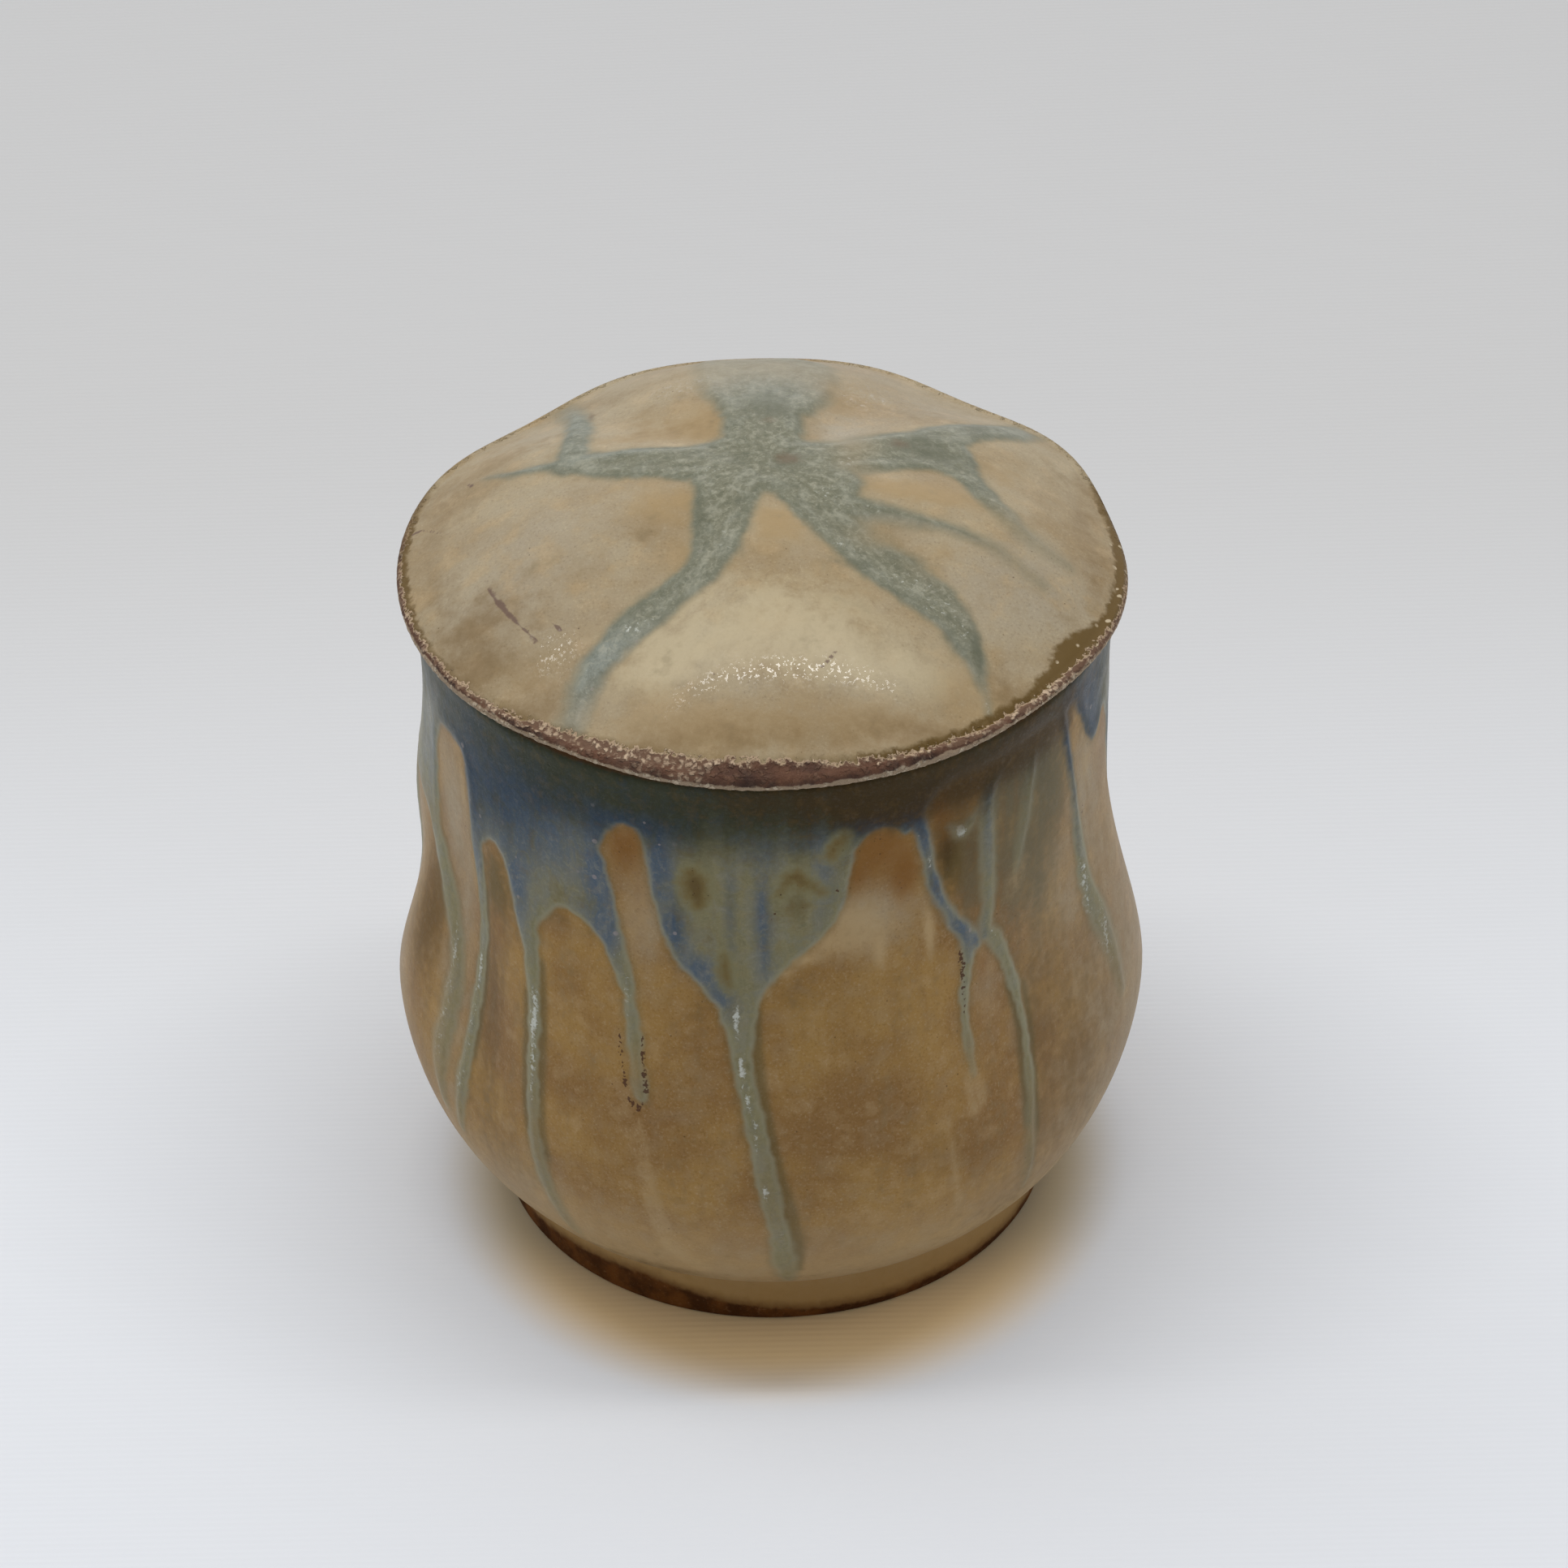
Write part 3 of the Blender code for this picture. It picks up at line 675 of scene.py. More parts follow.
def over(tree, share, below, above):
    """One colour over another, by a share from 0 to 1."""
    node = place(tree, "ShaderNodeMix", None, data_type="RGBA")
    for name, value in {"Factor": share, "A": below, "B": above}.items():
        feed(tree, next(s for s in node.inputs if s.name == name and s.enabled), value)
    return next(s for s in node.outputs if s.enabled)


def ramp(tree, value, start, end, low=0.0, high=1.0):
    """low up to start, high from end on, and an S-curve between."""
    sockets = {"Value": value, "From Min": start, "From Max": end, "To Min": low, "To Max": high}
    kind = "ShaderNodeMapRange"
    return place(tree, kind, sockets, interpolation_type="SMOOTHSTEP").outputs["Result"]


def cloud(tree, where, size, detail=2.0, roughness=0.5, distortion=0.0):
    """Soft noise, 0 to 1 about 0.5, with spots about size mm across."""
    sockets = {"Vector": where, "Scale": 1.0 / size, "Detail": detail, "Roughness": roughness}
    sockets["Distortion"] = distortion
    return place(tree, "ShaderNodeTexNoise", sockets).outputs["Fac"]


def unevenness(tree, where, size, most, detail=3.0, roughness=0.65):
    """Noise between -most and most, to make an edge uneven."""
    return ramp(tree, cloud(tree, where, size, detail, roughness), 0.25, 0.75, -most, most)


def new_group(name, inputs, outputs):
    """A node group with these inputs, name: default, and outputs. Color is a colour, the other
    outputs are numbers."""
    group = bpy.data.node_groups.new(name, "ShaderNodeTree")
    for label, default in inputs.items():
        kind = {float: "NodeSocketFloat", list: "NodeSocketColor", tuple: "NodeSocketVector"}
        kind = kind[type(default)]
        group.interface.new_socket(label, in_out="INPUT", socket_type=kind).default_value = default
    for label in outputs:
        kind = "NodeSocketColor" if label == "Color" else "NodeSocketFloat"
        group.interface.new_socket(label, in_out="OUTPUT", socket_type=kind)
    source = group.nodes.new("NodeGroupInput").outputs
    return group, source, group.nodes.new("NodeGroupOutput").inputs


def use(tree, group, **sockets):
    """The group placed in a tree. Sockets are named with _ for a space."""
    sockets = {key.replace("_", " "): value for key, value in sockets.items()}
    return place(tree, "ShaderNodeGroup", sockets, node_tree=group).outputs


def field(tree, name):
    return place(tree, "ShaderNodeAttribute", None, attribute_name=name).outputs["Fac"]


def shown(tree, name, uneven, start, end, most):
    """How much a kept field shows, its edge made uneven: nothing up to start, most from end on."""
    return ramp(tree, plus(tree, field(tree, name), uneven), start, end, 0.0, most)


def in_mm(tree):
    """The place on the piece, in mm."""
    at = place(tree, "ShaderNodeTexCoord").outputs["Object"]
    return vector(tree, "SCALE", at, scale=1.0 / MM)


def relieved(tree, height, unit=MM):
    """The normal of a surface raised by height times a unit, in metres."""
    sockets = {"Height": height, "Distance": unit, "Strength": 1.0}
    return place(tree, "ShaderNodeBump", sockets).outputs["Normal"]


def new_material(name, **sockets):
    """A material, its tree and its shader's sockets, with plain values for some of them."""
    material = bpy.data.materials.new(name)
    material.use_nodes = True
    shader = material.node_tree.nodes["Principled BSDF"].inputs
    for key, value in sockets.items():
        shader[key.replace("_", " ")].default_value = value
    return material, material.node_tree, shader


# Specks: round grains at random places, such as iron in the clay or seeds of crystal in a glaze
specks, given, out = new_group(
    "Specks",
    {"Where": (0.0, 0.0, 0.0), "Spacing": 2.0, "Share": 0.5, "Size": 0.2},
    ["Mask"],
)
per_mm = reckon(specks, "DIVIDE", 1.0, given["Spacing"])
cells = place(specks, "ShaderNodeTexVoronoi", {"Vector": given["Where"], "Scale": per_mm})
chance = place(specks, "ShaderNodeSeparateColor", {"Color": cells.outputs["Color"]}).outputs
apart = times(specks, cells.outputs["Distance"], given["Spacing"])
grown = times(specks, given["Size"], ramp(specks, chance["Green"], 0.0, 1.0, 0.45, 1.1))
shape = ramp(specks, reckon(specks, "DIVIDE", apart, grown), 0.75, 1.15, 1.0, 0.0)
chosen = reckon(specks, "LESS_THAN", chance["Red"], given["Share"])
specks.links.new(times(specks, shape, chosen), out["Mask"])

# Satin glaze: a matt, slightly curdled sand colour over an iron-bearing clay. Flow is the place
# again, drawn out along the way the glaze ran.
satin, given, out = new_group(
    "Satin_glaze",
    {
        "Where": (0.0, 0.0, 0.0),
        "Flow": (0.0, 0.0, 0.0),
        "Plain": tone(161, 127, 73),
        "Deep": tone(138, 104, 60),
        "Blush tone": tone(163, 146, 119),
        "Blush": 0.0,
    },
    ["Color", "Roughness", "Height", "Sparkle"],
)
where = given["Where"]
broad = cloud(satin, where, 15.0, 3.0, 0.55)
middle = cloud(satin, where, 4.5, 4.0, 0.6)
drift = cloud(satin, given["Flow"], 3.2, 4.0, 0.6)
fine = cloud(satin, where, 0.4, 2.0, 0.65)
colour = over(satin, ramp(satin, broad, 0.34, 0.66), given["Plain"], given["Deep"])
clouded = plus(satin, given["Blush"], ramp(satin, middle, 0.3, 0.7, -0.22, 0.22))
clouded = reckon(satin, "MAXIMUM", clouded, 0.0, clamp=True)
colour = over(satin, clouded, colour, given["Blush tone"])
colour = over(satin, ramp(satin, drift, 0.46, 0.74, 0.0, 0.3), colour, given["Deep"])
colour = over(satin, ramp(satin, middle, 0.5, 0.3, 0.0, 0.3), colour, tone(182, 156, 116))
# A fine light and dark grain, as of sugar
grain_light = ramp(satin, fine, 0.54, 0.74, 0.0, 0.22)
colour = over(satin, grain_light, colour, tone(200, 184, 154))
grain_dark = ramp(satin, fine, 0.46, 0.26, 0.0, 0.28)
colour = over(satin, grain_dark, colour, tone(88, 64, 36))
iron_specks = use(satin, specks, Where=where, Spacing=1.4, Share=0.25, Size=0.13)["Mask"]
colour = over(satin, times(satin, iron_specks, 0.6), colour, tone(72, 50, 30))
big_specks = use(satin, specks, Where=where, Spacing=6.0, Share=0.35, Size=0.32)["Mask"]
big_share = times(satin, big_specks, ramp(satin, middle, 0.3, 0.6, 0.1, 0.6))
colour = over(satin, big_share, colour, tone(62, 50, 30))
satin.links.new(colour, out["Color"])
satin.links.new(ramp(satin, middle, 0.2, 0.8, 0.34, 0.5), out["Roughness"])
peel = times(satin, cloud(satin, where, 1.5, 2.0, 0.5), 0.035)
sugar = times(satin, fine, 0.012)
height = plus(satin, peel, sugar)
height = minus(satin, height, times(satin, big_specks, 0.04))
satin.links.new(height, out["Height"])
# Seeds of glossy crystal
glints = ramp(satin, cloud(satin, where, 0.5, 1.0, 0.5), 0.58, 0.66)
satin.links.new(glints, out["Sparkle"])

# Run glaze: thick blue-grey glaze, its edge of one tone and its heart of another. It breaks to
# grey-green with curds and streaks where it lies broad.
running, given, out = new_group(
    "Run_glaze",
    {
        "Where": (0.0, 0.0, 0.0),
        "Flow": (0.0, 0.0, 0.0),
        "Depth": 0.0,
        "Blue": 0.0,
        "Crystals": 0.0,
        "Thin": 0.0,
        "Grey": tone(128, 130, 108),
        "Slate": tone(84, 98, 112),
        "Pale": tone(158, 156, 134),
        "Dark": tone(74, 80, 62),
        "Edge tone": tone(138, 142, 122),
        "Edge reach": 0.9,
        "Edge share": 0.5,
        "Curdle": 0.22,
        "Wander": 0.35,
        "Softness": 0.5,
    },
    ["Color", "Cover", "Halo", "Height"],
)
where = given["Where"]
shift = ramp(running, cloud(running, where, 3.2, 2.0, 0.5), 0.2, 0.8, -1.0, 1.0)
depth = plus(running, given["Depth"], times(running, shift, given["Wander"]))
curds = cloud(running, where, 3.0, 5.0, 0.68, 0.8)
streaks = cloud(running, given["Flow"], 2.4, 3.0, 0.6)
fine = cloud(running, where, 0.75, 4.0, 0.7, 0.8)
off_heart = reckon(running, "ABSOLUTE", minus(running, depth, 1.9))
blueness = plus(running, ramp(running, off_heart, 0.2, 2.0, 0.12, 0.0), given["Blue"])
blueness = plus(running, blueness, ramp(running, curds, 0.3, 0.7, -0.2, 0.2))
blueness = plus(running, blueness, ramp(running, streaks, 0.3, 0.7, -0.1, 0.1), clamp=True)
colour = over(running, blueness, given["Grey"], given["Slate"])
colour = over(running, ramp(running, curds, 0.5, 0.78, 0.0, 0.4), colour, given["Pale"])
colour = over(running, ramp(running, curds, 0.48, 0.22, 0.0, 0.5), colour, given["Dark"])
drawn_light = times(running, ramp(running, streaks, 0.5, 0.7), given["Curdle"])
colour = over(running, times(running, drawn_light, 0.9), colour, given["Pale"])
drawn_dark = times(running, ramp(running, streaks, 0.49, 0.3), given["Curdle"])
colour = over(running, drawn_dark, colour, given["Dark"])
fine_light = times(running, ramp(running, fine, 0.5, 0.68), given["Curdle"])
colour = over(running, fine_light, colour, given["Pale"])
fine_dark = times(running, ramp(running, fine, 0.5, 0.3), given["Curdle"])
colour = over(running, fine_dark, colour, given["Dark"])
# Pinkish seeds along the blue
seeds = use(running, specks, Where=where, Spacing=2.2, Share=0.45, Size=0.38)["Mask"]
seeds = times(running, seeds, times(running, blueness, 0.5))
seeds = times(running, seeds, ramp(running, depth, 5.5, 2.5, 0.15, 1.0))
colour = over(running, seeds, colour, tone(164, 152, 150))
# Crystals: short whitish flecks
grown = times(running, given["Crystals"], 0.55)
grown = plus(running, cloud(running, where, 0.7, 3.0, 0.65, 0.4), grown)
some = ramp(running, given["Crystals"], 0.0, 0.15)
flecks = times(running, ramp(running, grown, 0.64, 0.86), some)
colour = over(running, times(running, flecks, 0.85), colour, tone(206, 209, 200))
past_edge = reckon(running, "DIVIDE", depth, given["Edge reach"])
edge = ramp(running, past_edge, 0.2, 1.0, 1.0, 0.0)
edge = times(running, edge, given["Edge share"])
colour = over(running, edge, colour, given["Edge tone"])
running.links.new(colour, out["Color"])
outer_edge = times(running, given["Softness"], -1.0)
covered = ramp(running, depth, outer_edge, given["Softness"])
thinned = minus(running, 1.0, times(running, given["Thin"], 0.9))
covered = times(running, covered, thinned)
running.links.new(covered, out["Cover"])
halo = ramp(running, depth, -1.3, -0.2, 0.0, 1.0)
halo = times(running, halo, thinned)
running.links.new(halo, out["Halo"])
bumps = times(running, curds, 0.05)
bumps = plus(running, bumps, times(running, flecks, 0.05))
running.links.new(times(running, bumps, covered), out["Height"])

# Bare clay: toasted stoneware, rough and groggy
bare, given, out = new_group(
    "Bare_clay",
    {"Where": (0.0, 0.0, 0.0), "Toast": tone(104, 64, 28), "Char": tone(68, 39, 17)},
    ["Color", "Height"],
)
where = given["Where"]
grog = cloud(bare, where, 0.6, 4.0, 0.7)
scorch = cloud(bare, where, 5.0, 3.0, 0.6)
colour = over(bare, ramp(bare, scorch, 0.35, 0.65), given["Char"], given["Toast"])
colour = over(bare, ramp(bare, grog, 0.55, 0.75, 0.0, 0.35), colour, tone(150, 116, 84))
bare.links.new(colour, out["Color"])
bare.links.new(times(bare, grog, 0.12), out["Height"])

# The pot's glaze: the satin glaze, what stains it and the light painted on it, the poured glaze,
# what shows on that and the shade painted on it, the foot
pot_glaze, tree, shader = new_material("pot_glaze", Specular_IOR_Level=0.08, Coat_Roughness=0.1)
where = in_mm(tree)
flow = place(tree, "ShaderNodeMapping", {"Vector": where, "Scale": (1.0, 1.0, 0.16)}).outputs[0]
ground = use(tree, satin, Where=where, Flow=flow, Blush=field(tree, "blush"))
colour = ground["Color"]
ripple = unevenness(tree, where, 1.6, 0.14)
streak = unevenness(tree, flow, 3.0, 0.12, detail=2.0, roughness=0.5)
uneven = plus(tree, ripple, streak)
# Painted light thrown up from the paper: the satin glaze paler towards the foot
painted_bounce = times(tree, field(tree, "low"), 0.55)
colour = over(tree, painted_bounce, colour, tone(174, 148, 108))
colour = over(tree, shown(tree, "brown", uneven, 0.0, 1.0, 0.85), colour, tone(96, 72, 36))
colour = over(tree, shown(tree, "veil", uneven, 0.0, 1.0, 0.85), colour, tone(98, 94, 73))
rusted = shown(tree, "rust", times(tree, ripple, 0.8), 0.0, 0.95, 1.0)
colour = over(tree, times(tree, rusted, 0.85), colour, tone(132, 90, 40))
colour = over(tree, shown(tree, "froth", uneven, 0.0, 0.95, 0.8), colour, tone(186, 160, 118))
# The poured glaze's tones darken where it lies deep, and with painted shade below the lid
deep_and_shaded = shown(tree, "deep", times(tree, uneven, 0.6), 0.0, 1.0, 1.0)
poured = use(
    tree,
    running,
    Where=where,
    Flow=flow,
    Depth=field(tree, "run_depth"),
    Blue=field(tree, "blue"),
    Crystals=field(tree, "crystals"),
    Thin=field(tree, "thin"),
    Grey=over(tree, deep_and_shaded, tone(136, 130, 98), tone(56, 59, 42)),
    Slate=over(tree, deep_and_shaded, tone(84, 98, 112), tone(44, 62, 80)),
    Pale=over(tree, deep_and_shaded, tone(160, 154, 128), tone(58, 68, 66)),
    Dark=over(tree, deep_and_shaded, tone(96, 94, 70), tone(42, 48, 37)),
    Edge_tone=over(tree, deep_and_shaded, tone(150, 147, 124), tone(76, 88, 92)),
    Softness=field(tree, "soft"),
)
halo = times(tree, poured["Halo"], 0.25)
colour = over(tree, halo, colour, tone(98, 88, 54))
shadow = times(tree, field(tree, "shadow_line"), 0.5)
colour = over(tree, shadow, colour, tone(84, 80, 52))
colour = over(tree, poured["Cover"], colour, poured["Color"])
windowed = shown(tree, "olive", uneven, 0.1, 0.9, 0.75)
colour = over(tree, windowed, colour, tone(104, 88, 48))
# A window has a pale green border, a brown pane and a darker middle
window = plus(tree, field(tree, "window"), times(tree, ripple, 2.4))
for start, end, most, shade in [
    (-1.7, -0.3, 0.6, tone(134, 129, 94)),
    (-1.0, 0.9, 0.75, tone(116, 97, 52)),
    (0.3, 1.7, 0.65, tone(90, 70, 36)),
]:
    colour = over(tree, ramp(tree, window, start, end, 0.0, most), colour, shade)
# Brown seeds where the glaze boiled over rust and windows
boiled = use(tree, specks, Where=where, Spacing=0.7, Share=0.5, Size=0.13)["Mask"]
boiled_zone = reckon(tree, "MAXIMUM", times(tree, rusted, 0.8), windowed)
boiled_zone = reckon(tree, "MAXIMUM", boiled_zone, ramp(tree, window, -0.6, 0.2))
boiled = times(tree, boiled, boiled_zone)
colour = over(tree, times(tree, boiled, 0.7), colour, tone(58, 38, 22))
# Brown glaze below the lip, with painted shade from the lid over it
colour = over(tree, shown(tree, "lip_shade", uneven, 0.05, 1.0, 0.85), colour, tone(66, 48, 18))
beads = ramp(tree, cloud(tree, where, 0.55, 1.0, 0.5), 0.3, 0.7, -0.3, 0.3)
colour = over(tree, shown(tree, "iron_line", beads, -0.1, 0.12, 0.85), colour, tone(74, 44, 32))
foot = plus(tree, field(tree, "foot"), ripple, clamp=True)
colour = over(tree, times(tree, foot, 0.6), colour, tone(156, 124, 74))
clay = use(tree, bare, Where=where)
clay_edge = plus(tree, field(tree, "bare_clay"), times(tree, ripple, 1.6))
scorched = ramp(tree, clay_edge, -2.2, 0.2, 0.0, 0.75)
colour = over(tree, scorched, colour, tone(92, 58, 28))
laid_bare = ramp(tree, clay_edge, -0.45, 0.35)
colour = over(tree, laid_bare, colour, clay["Color"])
feed(tree, shader["Base Color"], colour)
feed(tree, shader["Coat Weight"], times(tree, ground["Sparkle"], 0.15))
rough = times(tree, poured["Cover"], 0.08)
rough = minus(tree, ground["Roughness"], rough)
rough = plus(tree, rough, times(tree, laid_bare, 0.45))
feed(tree, shader["Roughness"], rough)
surface = plus(tree, ground["Height"], poured["Height"])
surface = plus(tree, surface, times(tree, clay["Height"], laid_bare))
feed(tree, shader["Normal"], relieved(tree, surface))
pot.data.materials.append(pot_glaze)

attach(pot, "pot")
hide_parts("pot")

# The lid. Thrown as a shallow bowl, turned over and given a flange that drops into the mouth, its
# dome pressed down between the lobes. The satin glaze has crawled back from the rim and left a
# crust, a band of bare iron-brown clay and a pale edge. The run glaze was poured on its middle.
LID_OVERHANG = 0.0022
DOME_RISE = 0.0155
DOME_POWER = 2.9
EDGE_THICKNESS = 0.0030
LID_WALL = 0.0048
FLANGE_DEPTH = 0.0070
FLANGE_WALL = 0.0032
FLANGE_EDGE = 0.0008
FLANGE_PLAY = 0.0010
SEAT_GAP = 0.0003

# Grooves: azimuth, depth on the dome, and how far they draw in the rim
LidGroove = namedtuple("LidGroove", "azimuth depth draw_in")
LID_GROOVES = [
    LidGroove(-34.0, 0.0020, 0.0011),
    LidGroove(48.0, 0.0020, 0.0009),
    LidGroove(102.0, 0.0010, 0.0015),
    LidGroove(142.0, 0.0020, 0.0023),
    LidGroove(180.0, 0.0, 0.0009),
    LidGroove(-137.0, 0.0020, 0.0023),
    LidGroove(-98.0, 0.0008, 0.0),
]
LID_GROOVE_HALF_WIDTH = 16.0
LID_GROOVE_SPREAD = 6.0
LID_GROOVE_START = 0.55
LID_GROOVE_END = 1.10
LID_GROOVE_FADE = 0.30

DOME_POINTS = 90
RIM_POINTS = 22
CEILING_POINTS = 16
LID_SIDES = 690
LID_CROWDING = 0.15
CRUST_DEPTH = 0.00030  # how deep the crust at the rim is pitted
CRUST_REACH = 5.5  # mm: no crust is further in from the rim
ARMS_END = 3.0  # mm: the arms stop this far from the rim
LID_MELT = 0.45  # mm: how softly the arms melt together

lid_radius = lip_radius + LID_OVERHANG
lid_seat = POT_HEIGHT + SEAT_GAP
flange_radius = mouth_radius - FLANGE_PLAY
flange_bore = flange_radius - FLANGE_WALL
rim_centre = lid_radius - EDGE_THICKNESS * 0.5


def dome_height(fraction):
    """The lid's top surface over its seat, at a fraction of the way out to the rim."""
    return EDGE_THICKNESS * 0.5 + DOME_RISE * (1.0 - fraction**DOME_POWER)


def lid_outline():
    """Rows from the top of the dome out to the rim, under it, round the flange and back inside,
    and the numbers of the first rows on the rim, under it and on the ceiling inside."""
    half_edge = EDGE_THICKNESS * 0.5
    radii = np.linspace(0.0, rim_centre, DOME_POINTS)
    rows = [(r, lid_seat + dome_height(r / lid_radius)) for r in radii]
    rim = len(rows)
    rows += arc(rim_centre, lid_seat + half_edge, half_edge, 62.0, -90.0, RIM_POINTS)
    under = len(rows)
    radii = np.linspace(rim_centre, flange_radius, FLAT_POINTS)[1:]
    rows += [(r, lid_seat) for r in radii]
    corner_z = lid_seat - FLANGE_DEPTH + FLANGE_EDGE
    rows += [(flange_radius, z) for z in np.linspace(lid_seat, corner_z, FLAT_POINTS)[1:]]
    rows += arc(flange_radius - FLANGE_EDGE, corner_z, FLANGE_EDGE, 0.0, -90.0, 4)[1:]
    rows += arc(flange_bore + FLANGE_EDGE, corner_z, FLANGE_EDGE, -90.0, -180.0, 4)
    ceiling = len(rows)
    radii = np.linspace(flange_bore, 0.0, CEILING_POINTS)
    rows += [(r, lid_seat + dome_height(r / lid_radius) - LID_WALL) for r in radii]
    return np.array(rows, float), rim, under, ceiling


# The poured glaze seen from above: the pool in the middle, and the arms that ran out over the lobes
LID_ARMS = [
    [(-5, 4.4, 5.6), (1, 3.4, 7.2), (6, 0.8, 6.4), (9, -2.6, 4.8)],
    [(-7, 4.4, 5.2), (-11, 4.2, 4.8), (-15, 5, 4.3), (-20, 5.7, 3.8), (-25, 7.3, 2.5),
     (-30, 8.8, 1.3), (-35, 10.4, 0.8), (-39, 13, 0.4)],
    [(-26.4, 8, 2.3), (-26.5, 20, 1.9), (-27.5, 30, 1.7), (-29, 38, 1.4), (-30.5, 43, 0.8)],
    [(-4.8, -1, 5), (-4.9, -5, 4.5), (-5.8, -10.4, 4.1), (-6.9, -16, 3.3), (-9, -19.8, 3),
     (-12.4, -22.8, 2.8), (-17, -26.4, 2.7), (-20.4, -29, 2.4), (-22.8, -31.6, 2.3),
     (-24.8, -34.4, 2.1), (-26.2, -37.6, 1.9), (-27.4, -41, 1.6), (-28.4, -44.4, 1)],
    [(6.4, -4.6, 4.4), (8, -8.2, 3.7), (10.8, -12, 3.7), (14.4, -15.8, 4.1), (18.6, -19, 4.1),
     (22.6, -22, 3.8), (25.8, -25, 3.1), (27.6, -28.4, 2.2), (28.9, -31.8, 1.3), (29.8, -35, 0.6),
     (30.4, -38.4, 0.3)],
    [(8, -6, 3), (13, -7.4, 2.2), (18, -8, 1.4), (22, -8.8, 1.1), (26, -9.6, 0.8),
     (30, -10.9, 0.6), (34, -12.8, 0.4), (38, -15.6, 0.2)],
    [(8, 4, 5.2), (13, 5.4, 4.5), (18, 7.4, 5), (22, 8.8, 5.4), (26, 9, 4.6)],
    [(25, 13, 3.8), (28.4, 16.8, 2.9), (32, 20, 2.6), (35.8, 24.4, 2.7), (37.8, 28, 2.5),
     (40, 32, 2.1), (42, 36, 1.4)],
    [(27, 7, 3.4), (29.9, 3, 2.2), (31.6, -0.8, 2), (33.8, -4.2, 1.8), (36.4, -6.9, 1.2),
     (39.4, -8.6, 0.7), (42, -9.6, 0.3)],
    [(0.4, 8, 5.8), (0.1, 13, 5.8), (0.5, 18, 6.2), (0.9, 22, 8), (1, 27, 10), (0.6, 33, 10),
     (-1.4, 40, 8), (-3, 47, 6)],
]
# Where it is bluer, thins out, or has curdled dark, to a brown eye or to pale crystals
LID_BLUE = [
    (-23, -32, 6, 6, 1), (-26, -40, 4, 5, 0.8), (-27, 26, 5, 14, 0.5), (0, 32, 12, 9, 0.9),
    (-34, 11, 6, 4, 0.5), (-20, 8.6, 8, 1.2, 0.6), (36, 26, 6, 8, 0.2), (-3, 44, 8, 10, 0.8),
    (2, 23, 8, 4, 0.5),
]
LID_THIN = [
    (16, -12.4, 4, 2.4, 0.55), (24, -16.6, 4, 3, 0.5), (30, -21, 3, 4, 0.6), (2, 33, 12, 8, 0.6),
    (11, 26, 4, 6, 0.6), (-9, 30, 5, 8, 0.6), (-3, 44, 10, 8, 0.6), (34, -5, 4, 4, 0.4),
    (40, -8, 4, 3, 0.6), (36, -14, 8, 4, 0.5), (13, 8, 3, 3, 0.6), (12.6, 3, 2.4, 3, 0.4),
    (-26, -41, 5, 5, 0.45), (30, -36, 3, 4, 0.5), (-29, 40, 5, 7, 0.5), (-39, 14, 4, 4, 0.5),
    (40, 32, 4, 5, 0.5),
]
LID_DARK = [
    (3.2, 3.4, 3.2, 2.8, 0.7), (23.4, 9.4, 5, 4, 1), (0.6, 18, 4.6, 5, 0.8), (31, 19, 2.4, 5, 0.5),
    (-3.2, 4, 1.6, 2.4, 0.6), (-14, 6.4, 7, 1.4, 0.4), (-8.6, -9, 0.9, 6, 0.5),
    (-3, -12, 0.9, 6, 0.4), (-14, -22.4, 3.4, 0.9, 0.5), (12.4, -18.6, 4, 1.2, 0.6),
    (25, -28, 1.6, 3, 0.4), (29, -30, 0.9, 5, 0.8), (18, -7.6, 6, 0.7, 0.6), (7, -9, 2, 1.6, 0.5),
    (31, 3, 1, 4, 0.4), (20, -15.8, 4, 1.6, 0.4),
]
LID_EYES = [
    (3.6, 3.6, 2.4, 2, 0.8), (19.6, 9.6, 1.8, 1.4, 0.8), (-25.2, 28.5, 0.5, 3.2, 0.9),
    (1, 13.5, 1.6, 1.2, 0.6),
]
LID_CRYSTALS = [
    (-5.6, -14, 1.2, 4, 0.12), (-17.6, -27.6, 3, 1.4, 0.2), (-24, -34, 1.8, 5, 0.1),
    (12, -14.6, 3, 1.8, 0.16), (20, -20, 4, 2.2, 0.16), (24, -24, 3, 2.2, 0.16),
    (-8, 1.2, 3, 1.4, 0.16), (9.6, -4, 3, 3, 0.15), (12, 3.4, 2, 2.4, 0.16),
    (-24, 4.8, 5, 0.6, 0.14), (30, -36, 0.7, 2.4, 0.3), (14, -7.6, 4, 1.4, 0.14),
    (27.6, -27, 1.6, 3, 0.15),
]
# Where its edge is blurred
LID_SOFT = [
    (3, 31, 15, 10, 1), (-3, 44, 12, 9, 1), (13, 10, 4, 6, 0.8), (37, -9, 7, 5, 0.9),
    (17, -12, 6, 4, 0.7), (-27, -38, 6, 6, 0.6), (37, -15, 7, 5, 0.9), (-29, 37, 5, 7, 0.6),
    (14, 3, 4, 3, 0.5), (38, 30, 5, 6, 0.4),
]

